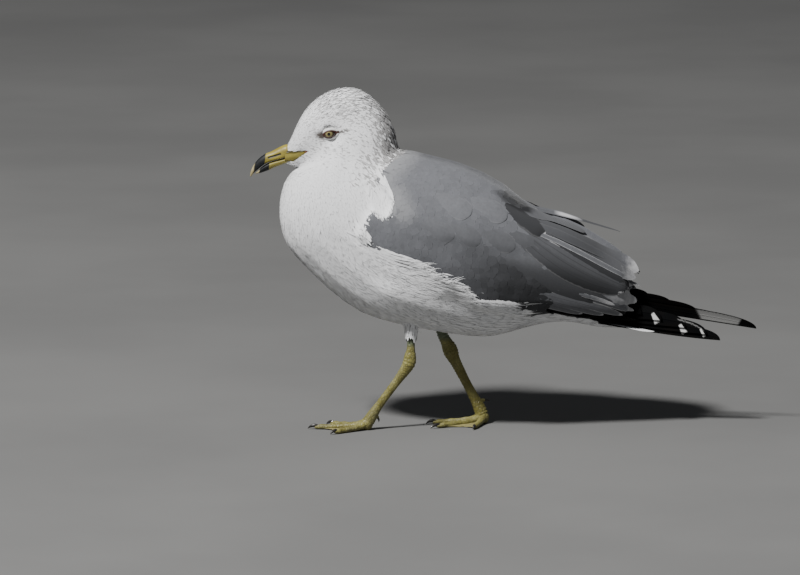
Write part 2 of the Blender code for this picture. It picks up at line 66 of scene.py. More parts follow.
# How the white coat lies: place x, z; direction x, z; length, width and height of a tuft.
WHITE_LIE = (
    (-184, 236, 1.0, 0.25, 2.2, 1.2, 0.5), (-182, 227, 1.0, 0.0, 3.0, 1.2, 0.5),
    (-176, 255, 0.55, 0.85, 2.8, 1.4, 0.5), (-165, 276, 0.75, 0.65, 4.0, 1.7, 0.7),
    (-148, 288, 1.0, 0.25, 5.0, 1.9, 0.9), (-128, 291, 1.0, -0.15, 5.5, 2.0, 1.0),
    (-110, 283, 0.7, -0.7, 6.0, 2.1, 1.1), (-99, 266, 0.4, -0.9, 6.5, 2.3, 1.1),
    (-92, 246, 0.5, -0.85, 7.0, 2.5, 1.1), (-160, 256, 0.95, 0.15, 3.0, 1.4, 0.5),
    (-147, 267, 1.0, 0.3, 3.4, 1.5, 0.5), (-147, 246, 1.0, -0.15, 3.4, 1.5, 0.5),
    (-130, 262, 0.95, -0.3, 4.5, 1.8, 0.7), (-112, 255, 0.7, -0.7, 6.0, 2.2, 0.9),
    (-165, 236, 1.0, -0.2, 3.4, 1.5, 0.6), (-145, 232, 0.95, -0.35, 4.5, 1.8, 0.7),
    (-120, 232, 0.75, -0.65, 6.5, 2.3, 1.0), (-168, 226, 0.9, -0.4, 4.0, 1.7, 0.6),
    (-183, 214, 0.25, -0.95, 7.0, 2.4, 1.0), (-189, 195, 0.05, -1.0, 9.0, 2.9, 1.2),
    (-160, 210, 0.6, -0.8, 7.5, 2.6, 1.1), (-130, 212, 0.65, -0.75, 8.5, 2.8, 1.2),
    (-105, 212, 0.75, -0.65, 10.0, 3.0, 1.3), (-186, 175, 0.25, -0.95, 10.0, 3.0, 1.3),
    (-165, 185, 0.35, -0.93, 10.0, 3.0, 1.3), (-135, 190, 0.6, -0.8, 11.0, 3.0, 1.4),
    (-172, 150, 0.6, -0.8, 12.0, 2.9, 1.4), (-140, 165, 0.72, -0.7, 12.0, 2.9, 1.4),
    (-115, 172, 0.8, -0.55, 12.0, 3.0, 1.5), (-150, 128, 0.8, -0.6, 13.0, 2.7, 1.5),
    (-115, 140, 0.88, -0.45, 14.0, 2.7, 1.5), (-85, 145, 0.93, -0.32, 15.0, 2.9, 1.6),
    (-120, 105, 0.92, -0.38, 14.0, 2.7, 1.5), (-85, 115, 0.95, -0.3, 15.0, 2.7, 1.6),
    (-50, 125, 0.95, -0.22, 16.0, 3.0, 1.8), (-90, 90, 1.0, -0.15, 13.0, 2.8, 1.4),
    (-55, 85, 1.0, -0.05, 13.0, 2.8, 1.4), (-30, 105, 0.98, -0.15, 18.0, 3.2, 1.8),
    (0, 100, 1.0, -0.08, 18.0, 3.4, 1.8), (-10, 82, 1.0, 0.0, 15.0, 3.2, 1.5),
    (35, 88, 1.0, 0.05, 17.0, 4.2, 1.5), (70, 93, 1.0, -0.1, 18.0, 4.6, 1.4),
    (95, 92, 1.0, -0.15, 16.0, 4.6, 1.2),
)
# The same for the grey feathers of mantle and wing coverts.
GREY_LIE = (
    (-88, 236, 0.85, -0.4, 8.0, 3.6, 0.8), (-100, 222, 0.8, -0.55, 8.0, 3.6, 0.8),
    (-70, 233, 1.0, -0.12, 11.0, 6.5, 1.0), (-40, 224, 1.0, -0.22, 13.0, 8.5, 1.1),
    (-10, 210, 0.95, -0.4, 15.0, 10.5, 1.2), (15, 190, 0.9, -0.5, 16.0, 11.0, 1.2),
    (-88, 205, 0.8, -0.6, 10.0, 5.5, 1.0), (-50, 205, 0.85, -0.5, 14.0, 10.0, 1.2),
    (-15, 197, 0.88, -0.45, 16.0, 11.5, 1.3), (-115, 185, 0.85, -0.45, 8.0, 4.0, 0.8),
    (-95, 180, 0.9, -0.4, 11.0, 8.0, 1.1), (-110, 170, 0.9, -0.35, 8.0, 4.2, 0.8),
    (-70, 160, 0.92, -0.35, 13.0, 9.0, 1.2), (-35, 150, 0.92, -0.4, 15.0, 10.0, 1.3),
    (0, 135, 0.9, -0.42, 17.0, 10.5, 1.2), (40, 125, 0.9, -0.35, 17.0, 10.5, 1.0),
    (90, 115, 0.95, -0.25, 15.0, 9.5, 0.8), (60, 165, 0.85, -0.5, 16.0, 10.5, 0.9),
    (100, 140, 0.8, -0.6, 14.0, 9.5, 0.8),
)

# Front edge of the mantle, seen from the side.
MANTLE_FRONT = ((-84.0, 245.0), (-91.0, 238.0), (-101.0, 229.0), (-109.0, 219.0),
                (-104.0, 213.5), (-97.0, 207.0), (-93.0, 198.0))
# Lower edge of the wing, where the white flank overlaps it: x, height in the side view.
WING_EDGE = ((-126, 164), (-105, 154), (-91, 148), (-76, 144), (-62, 137), (-56, 129), (-35, 123),
             (-30, 115), (-26, 109), (9, 106.5), (42, 104.5))


# --- small helpers -------------------------------------------------------------------------
def unit(v):
    return v / np.maximum(np.linalg.norm(v, axis=-1, keepdims=True), 1e-9)


def across_normals(vectors, normals):
    """Unit vectors laid at right angles to the normals."""
    return unit(vectors - normals * (vectors * normals).sum(-1, keepdims=True))


def smooth(low, high, x):
    t = np.clip((x - low) / (high - low), 0.0, 1.0)
    return t * t * (3 - 2 * t)


def spline(rows, per_span):
    """Rows of numbers joined smoothly (Catmull-Rom), per_span steps from row to row."""
    rows = [np.array(r, float) for r in rows]
    out, last = [], len(rows) - 1
    for i in range(last):
        p, q, r, s = rows[max(i - 1, 0)], rows[i], rows[i + 1], rows[min(i + 2, last)]
        for k in range(per_span):
            t = k / per_span
            out.append(0.5 * (2 * q + (r - p) * t + (2 * p - 5 * q + 4 * r - s) * t * t
                              + (3 * q - p - 3 * r + s) * t ** 3))
    return np.array(out + [rows[-1]])


def edge_height(x):
    """Lower edge of the wing in the side view."""
    return np.interp(x, *zip(*WING_EDGE))


def merged(shapes):
    """Vertices and faces of several shapes as one."""
    bases = np.cumsum([0] + [len(shape[0]) for shape in shapes])
    return (np.concatenate([shape[0] for shape in shapes]),
            np.concatenate([shape[1] + base for shape, base in zip(shapes, bases)]))


def ring_quads(grid, closed=False):
    """Quads round a stack of rings given as a grid of vertex numbers."""
    after = np.roll(grid, -1, axis=0)
    quads = np.stack([grid, after, np.roll(after, -1, axis=1), np.roll(grid, -1, axis=1)], -1)
    return quads[:len(grid) - (not closed)].reshape(-1, 4)


def shell(rings, count):
    """Quads round a stack of rings of equal count and across both its ends."""
    grid = np.arange(rings * count).reshape(rings, count)
    quads, half = [ring_quads(grid)], count // 2
    for ring, way in ((grid[0], 1), (grid[-1], -1)):
        back = ring[::-1]
        cap = np.stack([ring[:half - 1], ring[1:half], back[1:half], back[:half - 1]], -1)
        quads.append(cap[:, ::way])
    return np.concatenate(quads)


def segment_distance(x, z, a, b):
    a, b = np.array(a), np.array(b)
    d = b - a
    t = np.clip(((x - a[0]) * d[0] + (z - a[1]) * d[1]) / (d @ d), 0, 1)
    return np.hypot(x - a[0] - t * d[0], z - a[1] - t * d[1])


def link(name, data):
    ob = bpy.data.objects.new(name, data)
    bpy.context.scene.collection.objects.link(ob)
    return ob


def mesh_object(name, verts, faces, normals=None, tags=None, uv=None):
    """Object of quads given as arrays, in millimetres, with float attributes and one UV map."""
    verts, faces = np.asarray(verts, float), np.asarray(faces, np.int32)
    mesh = bpy.data.meshes.new(name)
    mesh.vertices.add(len(verts))
    mesh.vertices.foreach_set("co", (verts * MM).ravel())
    mesh.loops.add(faces.size)
    mesh.loops.foreach_set("vertex_index", faces.ravel())
    mesh.polygons.add(len(faces))
    mesh.polygons.foreach_set("loop_start", np.arange(0, faces.size, faces.shape[1],
                                                      dtype=np.int32))
    mesh.update(calc_edges=True)
    mesh.shade_smooth()
    for key, values in (tags or {}).items():
        mesh.attributes.new(key, "FLOAT", "POINT").data.foreach_set(
            "value", np.asarray(values, np.float32).ravel())
    if uv is not None:
        uv = np.asarray(uv, np.float32)
        layer = mesh.uv_layers.new(name="OFBake")
        layer.data.foreach_set("uv", (uv[faces.ravel()] if len(uv) == len(verts) else uv).ravel())
    if normals is not None:
        mesh.normals_split_custom_set_from_vertices(normals)
    return link(name, mesh)


def finish_piece(ob, material, slot, *nodes):
    ob.data.materials.clear()
    ob.data.materials.append(material)
    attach(ob, "root")
    if nodes:
        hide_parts(*nodes)


# --- materials -------------------------------------------------------------------------------
class Paint:
    """A node material built up in code: a base colour with others laid over it."""

    def __init__(self, name, roughness, base, **sockets):
        self.material = bpy.data.materials.new(name)
        self.material.use_nodes = True
        self.tree = self.material.node_tree
        self.shader = self.tree.nodes["Principled BSDF"]
        self.base = base
        for key, value in {"Roughness": roughness, **sockets}.items():
            self.shader.inputs[key.replace("_", " ")].default_value = value

    def feed(self, socket, value):
        if isinstance(value, bpy.types.NodeSocket):
            self.tree.links.new(value, socket)
        elif socket.type == "RGBA":
            socket.default_value = (*value, 1.0)
        else:
            socket.default_value = value

    def node(self, kind, inputs=None, **settings):
        made = self.tree.nodes.new(kind)
        for key, value in settings.items():
            setattr(made, key, value)
        for key, value in (inputs or {}).items():
            self.feed(made.inputs[key], value)
        return made

    def math(self, operation, a, b=0.0):
        return self.node("ShaderNodeMath", {0: a, 1: b}, operation=operation).outputs[0]

    def times(self, a, b):
        return self.math("MULTIPLY", a, b)

    def tag(self, name):
        return self.node("ShaderNodeAttribute", attribute_name=name).outputs["Fac"]

    def side(self):
        """0 on a vane's shaft, 1 at either edge."""
        return self.math("ABSOLUTE", self.tag("across"))

    def step(self, value, low, high, out_low=0.0, out_high=1.0):
        """Smooth ramp of a value between two limits."""
        inputs = {"Value": value, "From Min": low, "From Max": high, "To Min": out_low,
                  "To Max": out_high}
        return self.node("ShaderNodeMapRange", inputs, interpolation_type="SMOOTHSTEP").outputs[0]

    def place(self, stretch):
        place = self.node("ShaderNodeTexCoord").outputs["Object"]
        if stretch is None:
            return place
        return self.node("ShaderNodeMapping", {"Vector": place, "Scale": stretch}).outputs[0]

    def noise(self, scale, detail=3.0, stretch=None):
        inputs = {"Scale": scale, "Detail": detail, "Vector": self.place(stretch)}
        return self.node("ShaderNodeTexNoise", inputs).outputs["Fac"]

    def cells(self, scale, feature="DISTANCE_TO_EDGE", stretch=None):
        inputs = {"Scale": scale, "Vector": self.place(stretch)}
        return self.node("ShaderNodeTexVoronoi", inputs, feature=feature).outputs["Distance"]

    def barbs(self, across, along):
        """Fine slanting lines over a vane."""
        return self.math("SINE", self.math("ADD", self.times(self.side(), across),
                                           self.times(self.tag("along"), -along)))

    def mix(self, share, a, b):
        inputs = {"Factor": share, 6: a, 7: b}
        return self.node("ShaderNodeMix", inputs, data_type="RGBA").outputs[2]

    def lay(self, mask, colour, share=None):
        """Lay a colour over the base where the mask is 1."""
        self.base = self.mix(mask if share is None else self.times(mask, share), self.base, colour)

    def darken(self, colour):
        """Painted shade: darker by the tag "dark" (in the small coat with some random tone too),
        and near black where that passes 1, as in the shadowed hollow of the back.
        """
        self.lay(self.tag("dark"), colour)
        self.lay(self.step(self.tag("dark"), 1.0, 1.3), (0.011, 0.0115, 0.013))

    def roughness(self, pattern, low, high):
        self.feed(self.shader.inputs["Roughness"], self.step(pattern, 0.3, 0.7, low, high))

    def done(self, height=None, distance=0.0, strength=1.0):
        """Set the colour, and the bump if there is one."""
        self.feed(self.shader.inputs["Base Color"], self.base)
        if height is not None:
            inputs = {"Strength": strength, "Distance": distance, "Height": height}
            self.feed(self.shader.inputs["Normal"], self.node("ShaderNodeBump", inputs).outputs[0])
        return self.material


WHITE = (0.88, 0.885, 0.90)
WHITE_DEEP = (0.78, 0.78, 0.79)
FLECK = (0.075, 0.064, 0.056)
GREY = (0.150, 0.154, 0.168)
GREY_DEEP = (0.118, 0.121, 0.131)
BLACK = (0.0025, 0.0027, 0.003)


def plumage_white():
    """White body coat: greyer at the roots, dark centres where a tuft is flecked."""
    p = Paint("plumage_white", 0.85, WHITE_DEEP, Sheen_Weight=0.25, Sheen_Roughness=0.5,
              Specular_IOR_Level=0.2)
    p.lay(p.step(p.tag("along"), 0.1, 0.85), WHITE)
    p.lay(p.step(p.noise(45.0), 0.35, 0.7), (0.74, 0.74, 0.72), 0.10)
    p.lay(p.step(p.side(), 0.5, 1.0), (0.55, 0.55, 0.55), 0.12)
    p.lay(p.tag("fleck"), FLECK)
    return p.done(p.noise(900.0, 2.0, (1.0, 1.0, 3.0)), 0.0003, 0.35)


def plumage_grey():
    """Grey mantle and coverts: soft pale edges, a darker centre, fine barbs."""
    p = Paint("plumage_grey", 0.78, GREY_DEEP, Sheen_Weight=0.2, Sheen_Roughness=0.45,
              Specular_IOR_Level=0.25)
    along, across = p.tag("along"), p.side()
    p.lay(p.step(along, 0.0, 0.8), GREY)
    p.lay(p.step(p.noise(60.0), 0.3, 0.7), (0.125, 0.128, 0.138), 0.25)
    edge = p.math("MAXIMUM", p.step(across, 0.80, 1.0), p.step(along, 0.90, 1.0))
    p.lay(edge, (0.28, 0.285, 0.30), 0.16)
    p.lay(p.step(across, 0.0, 0.07, 1.0, 0.0), (0.10, 0.10, 0.11), 0.25)
    # painted shade, from the tag dark
    p.darken((0.033, 0.034, 0.037))
    p.lay(p.tag("pale"), (0.72, 0.72, 0.72))
    fluff = p.times(p.noise(700.0, 2.0), 2.0)
    return p.done(p.math("ADD", p.times(p.barbs(34.0, 60.0), 0.5), fluff), 0.00015, 0.30)


def vane_grey():
    """Tertials, secondaries and scapulars: grey vanes with white edges and tips."""
    p = Paint("vane_grey", 0.7, (0.070, 0.072, 0.078), Sheen_Weight=0.12, Specular_IOR_Level=0.3)
    along, across = p.tag("along"), p.side()
    p.lay(p.tag("tone"), (0.165, 0.169, 0.183))
    p.lay(p.step(p.noise(120.0, 2.0), 0.3, 0.75), (0.105, 0.107, 0.115), 0.30)
    p.lay(p.step(p.noise(420.0), 0.35, 0.7), (0.08, 0.082, 0.09), 0.22)
    quill = p.times(p.step(across, 0.02, 0.08, 1.0, 0.0), p.tag("shaft"))
    p.lay(quill, (0.04, 0.04, 0.043))
    ragged = p.times(p.math("SUBTRACT", p.noise(300.0, 2.0), 0.5), 0.25)
    rim = p.step(p.math("ADD", across, ragged), 0.80, 0.93)
    end = p.step(p.math("ADD", along, p.times(ragged, 0.5)),
                 p.math("SUBTRACT", 1.0, p.tag("white_tip")), 1.0)
    mark = p.math("MAXIMUM", p.times(rim, p.tag("white_rim")), end)
    # painted shade, from the tag dark
    p.darken((0.030, 0.031, 0.034))
    p.lay(p.math("MAXIMUM", mark, p.tag("patch")), (0.50, 0.50, 0.51))
    lines = p.times(p.barbs(46.0, 150.0), 0.5)
    return p.done(p.math("ADD", lines, p.times(quill, 6.0)), 0.00010, 0.25)


def vane_black():
    """Primaries: black, with white tips, a brown edge that is partly wear and partly painted
    sheen, and the far wing's white mirror painted grey for its shade, where the tags say so.
    """
    p = Paint("vane_black", 0.6, BLACK, Specular_IOR_Level=0.03)
    p.lay(p.step(p.noise(70.0, 2.0), 0.35, 0.8), (0.007, 0.0058, 0.005), 0.5)
    # brown along one vane edge, mostly on the far wing: partly wear, partly a painted sheen on the
    # far blade's top
    wear_and_sheen = p.step(p.tag("across"), 0.3, 0.95, 0.0, 0.6)
    p.lay(p.times(wear_and_sheen, p.tag("brown")), (0.009, 0.0072, 0.006))
    p.lay(p.tag("white_tip"), (0.62, 0.62, 0.61))
    # the white mirror painted grey for the shade it lies in
    p.lay(p.tag("mirror"), (0.26, 0.26, 0.255))
    shaft = p.step(p.side(), 0.02, 0.09, 1.0, 0.0)
    return p.done(p.math("ADD", p.barbs(40.0, 260.0), p.times(shaft, 5.0)), 0.00012, 0.5)


def bill_paint():
    """Yellow bill with a black ring and a pale horn tip; the mandible is greener."""
    p = Paint("bill_horn", 0.45, (0.215, 0.168, 0.022), Coat_Weight=0.04, Coat_Roughness=0.3,
              Specular_IOR_Level=0.3)
    wobble = p.times(p.math("SUBTRACT", p.noise(250.0, 2.0), 0.5), 1.6)
    reach = p.math("ADD", p.tag("reach"), wobble)
    grain = p.step(p.noise(160.0, 4.0, (0.35, 1.0, 1.0)), 0.3, 0.75)
    p.lay(grain, (0.33, 0.275, 0.048))
    p.lay(p.tag("green"), p.mix(grain, (0.15, 0.125, 0.028), (0.27, 0.235, 0.065)))
    p.lay(p.step(reach, -0.5, 0.5), (0.008, 0.009, 0.010))
    p.lay(p.step(reach, 7.6, 9.2), p.mix(grain, (0.26, 0.21, 0.10), (0.40, 0.35, 0.20)))
    # black in the nostril slits, painted for the shade inside them, and a dark line along the top
    # of each gape
    p.lay(p.tag("dark"), (0.003, 0.0025, 0.002))
    p.lay(p.tag("red"), (0.17, 0.022, 0.010))
    p.roughness(p.noise(300.0), 0.38, 0.55)
    return p.done(p.noise(420.0, 4.0, (0.3, 1.0, 1.0)), 0.0003, 0.35)


def eye_paint():
    """Pale yellow iris with a small pupil under a wet cornea."""
    p = Paint("eye_wet", 0.08, (0.17, 0.145, 0.060), Coat_Weight=1.0, Coat_Roughness=0.02,
              IOR=1.38)
    out = p.tag("gaze")
    p.lay(p.step(p.noise(2600.0), 0.3, 0.7), (0.29, 0.255, 0.125))
    p.lay(p.step(out, 2.3, 3.6), (0.045, 0.030, 0.012))
    p.lay(p.step(out, 1.3, 2.0, 0.7, 0.0), (0.24, 0.19, 0.06))
    p.lay(p.step(out, 1.15, 1.4, 1.0, 0.0), (0.004, 0.004, 0.005))
    p.lay(p.step(out, 4.15, 4.5), (0.015, 0.012, 0.010))
    return p.done()


def lid_paint():
    """Dark wet rim, red orbital ring, then pale bare skin."""
    p = Paint("orbital_ring", 0.5, (0.012, 0.008, 0.007), Specular_IOR_Level=0.35)
    band = p.tag("band")
    beads = p.step(p.cells(1500.0, "F1"), 0.1, 0.7)
    p.lay(p.step(band, 0.22, 0.34), p.mix(beads, (0.13, 0.020, 0.011), (0.05, 0.010, 0.007)))
    p.lay(p.step(band, 0.46, 0.56), (0.05, 0.035, 0.030))
    p.lay(p.step(band, 0.62, 0.76), (0.62, 0.62, 0.61))
    return p.done(p.cells(1300.0, "F1"), 0.0002, 0.6)


def leg_paint():
    """Yellow-green scaly skin, darker between the scutes, paler on the webs, and painted darker
    olive at the tops of the tarsi for the shade under the belly.
    """
    p = Paint("leg_skin", 0.5, (0.155, 0.139, 0.030), Coat_Weight=0.04, Coat_Roughness=0.45)
    edges = p.cells(430.0, stretch=(1.0, 1.0, 0.8))
    p.lay(p.step(p.noise(110.0), 0.3, 0.72), (0.255, 0.236, 0.072))
    p.lay(p.step(p.noise(45.0, 2.0), 0.45, 0.75), (0.20, 0.19, 0.10), 0.5)
    p.lay(p.step(edges, 0.0, 0.10, 1.0, 0.0), (0.085, 0.072, 0.028), 0.55)
    p.lay(p.tag("web"), (0.31, 0.275, 0.13), 0.55)
    # painted shade: the tops of the tarsi, under the belly and the sleeve, darker olive
    p.lay(p.tag("green"), (0.11, 0.13, 0.075))
    p.roughness(p.noise(240.0), 0.38, 0.6)
    scutes = p.math("ADD", p.step(edges, 0.0, 0.18), p.times(p.noise(900.0), 0.4))
    return p.done(scutes, 0.0004, 0.6)


def claw_paint():
    p = Paint("claw_horn", 0.35, (0.010, 0.009, 0.009), Coat_Weight=0.2)
    p.lay(p.step(p.noise(500.0), 0.3, 0.7), (0.035, 0.030, 0.027))
    return p.done(p.noise(900.0), 0.0002, 0.3)


def floor_paint():
    p = Paint("floor_pale", 0.9, (0.146, 0.146, 0.144), Specular_IOR_Level=0.1)
    p.lay(p.step(p.noise(2.5, 4.0), 0.3, 0.7), (0.168, 0.168, 0.165))
    return p.done()


def down_paint():
    """The skin under the coat: pale down, dark where the long feathers spread over it."""
    p = Paint("skin_down", 0.9, (0.62, 0.62, 0.62), Sheen_Weight=0.2, Specular_IOR_Level=0.15)
    p.lay(p.step(p.noise(300.0), 0.3, 0.7), (0.72, 0.72, 0.72))
    p.lay(p.tag("fleck"), FLECK)
    p.lay(p.tag("grey"), (0.12, 0.123, 0.134))
    p.lay(p.tag("under"), (0.012, 0.012, 0.012))
    return p.done(p.noise(900.0), 0.0004, 0.5)


# --- camera, floor, light ------------------------------------------------------------------
AIM = Vector((-0.0881, 0.0, 0.1205))
VIEW_DISTANCE, LENS, SENSOR = 5.667, 300.0, 36.0
FLOOR_HALF = 7.0
KEY_FROM = Vector((-0.50, -0.62, 1.0)).normalized()
KEY_DISTANCE, KEY_SIZE, KEY_POWER = 6.0, 0.80, 690.0
SKY, SKY_STRENGTH = (0.92, 0.95, 1.0, 1.0), 0.115


def stage():
    """Camera, plain floor, one soft key light and a pale sky."""
    scene = bpy.context.scene
    data = bpy.data.cameras.new("camera")
    data.lens, data.sensor_width, data.clip_end = LENS, SENSOR, 50.0
    camera = link("camera", data)
    back = Vector((0.0, -math.cos(VIEW_ELEVATION), math.sin(VIEW_ELEVATION)))
    camera.location = AIM + back * VIEW_DISTANCE
    camera.rotation_euler = (math.pi / 2 - VIEW_ELEVATION, 0.0, 0.0)
    scene.camera = camera

    mesh = bpy.data.meshes.new("floor")
    mesh.from_pydata([(x * FLOOR_HALF, y * FLOOR_HALF, 0)
                      for x, y in ((-1, -1), (1, -1), (1, 1), (-1, 1))], [], [(0, 1, 2, 3)])
    mesh.materials.append(floor_paint())
    link("floor", mesh)

    light = bpy.data.lights.new("key", "AREA")
    light.shape, light.size, light.energy = "DISK", KEY_SIZE, KEY_POWER
    light.color = (1.0, 0.993, 0.982)
    key = link("key", light)
    key.location = AIM + KEY_FROM * KEY_DISTANCE
    key.rotation_euler = KEY_FROM.to_track_quat("Z", "Y").to_euler()
    world = bpy.data.worlds.new("studio")
    scene.world = world
    world.use_nodes = True
    sky = world.node_tree.nodes["Background"]
    sky.inputs[0].default_value, sky.inputs[1].default_value = SKY, SKY_STRENGTH


# --- the skin ------------------------------------------------------------------------------
def node_shape(name, grow):
    """A CAD node's welded vertices (mm) and triangles, grown along its normals."""
    bm = bmesh.new()
    bm.from_mesh(NODES[name].data)
    bmesh.ops.remove_doubles(bm, verts=bm.verts, dist=2e-5)
    bmesh.ops.triangulate(bm, faces=bm.faces)
    bm.normal_update()
    verts = np.array([v.co + v.normal * (grow * MM) for v in bm.verts]) / MM
    faces = np.array([[v.index for v in f.verts] for f in bm.faces])
    bm.free()
    return verts, faces


def tree_of(verts, faces):
    return BVHTree.FromPolygons(verts.tolist(), faces.tolist())


def in_gape(points):
    """Bare wedge of the gape at the side of the face."""
    x, z = points[:, 0], points[:, 2]
    t = np.clip((x + 184.0) / 17.5, 0.0, 1.0)
    high, low = 238.6 + 1.4 * t, 229.5 + 10.2 * np.clip((x + 178.0) / 11.5, 0, 1)
    return (x > -186.0) & (x < -166.3) & (z < high) & (z > low)


def side_ray(tree, x, height, side):
    """What a tree has behind a point of the side view."""
    start = Vector((x, side * 200.0, height + 200.0 * VIEW_SLOPE))
    return tree.ray_cast(start, Vector((0.0, -side, -VIEW_SLOPE)).normalized())


def flank_fill(tree):
    """Volumes that carry the flank out flush with the wing's lower edge, as its coat does."""
    xs, steps = np.linspace(-124.0, 14.0, 36), np.linspace(0.0, 1.0, 9)
    shapes = []
    for side in (LEFT, RIGHT):
        rings = []
        for x in xs:
            drop = np.interp(x, (-126, -60, -30, 14), (26, 24, 13, 9))
            seen = edge_height(x) + 1.5 - drop * steps
            y = []
            for height in seen:
                hit = side_ray(tree, x, height, side)[0]
                y.append(abs(hit.y) if hit else (y[-1] if y else 40.0))
            y = np.array(y)
            flush = y[0] + (y[-1] - y[0]) * steps + np.sin(np.pi * steps)
            fade = smooth(-125.0, -110.0, x) * smooth(14.0, 0.0, x)
            y = y + fade * np.maximum(flush - y, 0.0) - 0.4 * (1 - fade)
            outer = np.stack([np.full(len(y), x), side * y, seen + VIEW_SLOPE * y], -1)
            rings.append(np.concatenate([outer, (outer - [0.0, side * 10.0, 0.0])[::-1]]))
        quads = shell(len(rings), len(rings[0]))[:, ::-side]
        shapes.append((np.concatenate(rings),
                       np.concatenate([quads[:, :3], quads[:, [0, 2, 3]]])))
    return merged(shapes)


def remeshed(verts, faces):
    """Vertices, normals and quads of one smooth closed skin round the shapes given."""
    rough = mesh_object("skin_rough", verts, faces)
    step = rough.modifiers.new("join", "REMESH")
    step.mode, step.voxel_size, step.adaptivity = "VOXEL", VOXEL * MM, 0.0
    step = rough.modifiers.new("soften", "SMOOTH")
    step.factor, step.iterations = 0.5, 10
    graph = bpy.context.evaluated_depsgraph_get()
    mesh = bpy.data.meshes.new_from_object(rough.evaluated_get(graph))
    bpy.data.objects.remove(rough)
    co, nor = np.empty((2, len(mesh.vertices) * 3))
    mesh.vertices.foreach_get("co", co)
    mesh.vertices.foreach_get("normal", nor)
    quads = np.empty(len(mesh.loops), np.int32)
    mesh.loops.foreach_get("vertex_index", quads)
    bpy.data.meshes.remove(mesh)
    return co.reshape(-1, 3) / MM, nor.reshape(-1, 3), quads.reshape(-1, 4)


def make_skin():
    """One smooth closed skin through all the flesh nodes, set in by the coat's depth."""
    flesh = merged([node_shape(name, GROW) for name in WHITE_NODES + GREY_NODES])
    co, nor, quads = remeshed(*merged([flesh, flank_fill(tree_of(*flesh))]))
    depth = 0.6 + 0.3 * smooth(-160.0, -100.0, co[:, 0]) * smooth(255.0, 235.0, co[:, 2])
    depth *= 1.0 - 0.7 * smooth(25.0, 60.0, co[:, 0])
    co = co - nor * (GROW + depth)[:, None]
    # the rear end of the flesh stays inside the long feathers
    co[:, 0] = np.where(co[:, 0] > 100.0, 100.0 + (co[:, 0] - 100.0) * 0.35, co[:, 0])
    # the corner of the mouth lies a little deeper than the cheek
    co[:, 1] -= np.sign(co[:, 1]) * 1.2 * in_gape(co) * (np.abs(co[:, 1]) > 2.0)
    # a low mound of lid and cheek round each eye
    for side in (LEFT, RIGHT):
        near = co[:, 1] * side > 8.0
        r = np.hypot(co[:, 0] - EYE[0], co[:, 2] - EYE[2])
        rise = smooth(13.0, 5.6, r) * near * (r > 4.6)
        co[:, 1] += (side * (EYE[1] + 3.0) - co[:, 1]) * rise * 0.9
        cap = EYE[1] + 2.6 + 0.5 * np.maximum(r - 6.0, 0.0)
        co[:, 1] = np.where(near & (r < 9.0), side * np.minimum(co[:, 1] * side, cap), co[:, 1])
    # the shanks end inside the bare legs
    for x, y, top in ((-78.8, -15.6, 78.5), (-52.6, 17.4, 86.0)):
        inside = smooth(top + 2.0, top, co[:, 2]) * (np.hypot(co[:, 0] - x, co[:, 1] - y) < 10.0)
        co[:, 0] += (x - co[:, 0]) * 0.6 * inside
        co[:, 1] += (y - co[:, 1]) * 0.6 * inside
    return co, quads


def at_corners(faces):
    """Unit sums, at the skin's vertices, of a vector given for each face."""
    out = np.zeros_like(SKIN_CO)
    for k in range(4):
        np.add.at(out, SKIN_QUADS[:, k], faces)
    return unit(out)


SKIN_CO, SKIN_QUADS = make_skin()
CORNERS = SKIN_CO[SKIN_QUADS]
FACE_AREAS = np.cross(CORNERS[:, 2] - CORNERS[:, 0], CORNERS[:, 3] - CORNERS[:, 1])
SKIN_NORMALS = at_corners(FACE_AREAS)
for _ in range(3):                                     # calmer normals for the coat to follow
    SKIN_NORMALS = at_corners(unit(SKIN_NORMALS[SKIN_QUADS].sum(1)))
FACE_NORMALS = unit(SKIN_NORMALS[SKIN_QUADS].sum(1))
TREE = tree_of(SKIN_CO, SKIN_QUADS)
WHITE_TREE, GREY_TREE = (tree_of(*merged([node_shape(name, 0.0) for name in names]))
                         for names in (WHITE_NODES, GREY_NODES))


def distances(tree, points):
    find = tree.find_nearest
    return np.array([find(p)[3] for p in points.tolist()])


def nearest(points):
    """Nearest place on the skin, its soft normal, its face and how far off it is."""
    flat = points.reshape(-1, 3)
    loc, index, dist = np.empty_like(flat), np.empty(len(flat), int), np.empty(len(flat))
    find = TREE.find_nearest
    for i, p in enumerate(flat.tolist()):
        hit = find(p)
        loc[i], index[i], dist[i] = hit[0], hit[2], hit[3]
    shape = points.shape[:-1]
    return (loc.reshape(points.shape), FACE_NORMALS[index].reshape(points.shape),
            index.reshape(shape), dist.reshape(shape))


def greyness(points):
    """1 where the grey mantle and wings are nearest, 0 on the white body."""
    grey = smooth(-0.6, 0.6, distances(WHITE_TREE, points) - distances(GREY_TREE, points))
    x, y, z = points[:, 0], np.abs(points[:, 1]), points[:, 2]
    under = z - VIEW_SLOPE * y - edge_height(x)
    flank = smooth(0.8, -0.8, under) * smooth(-129.0, -125.0, x) * smooth(14.0, 9.0, x)
    return grey * (1.0 - flank * (y > 12.0))


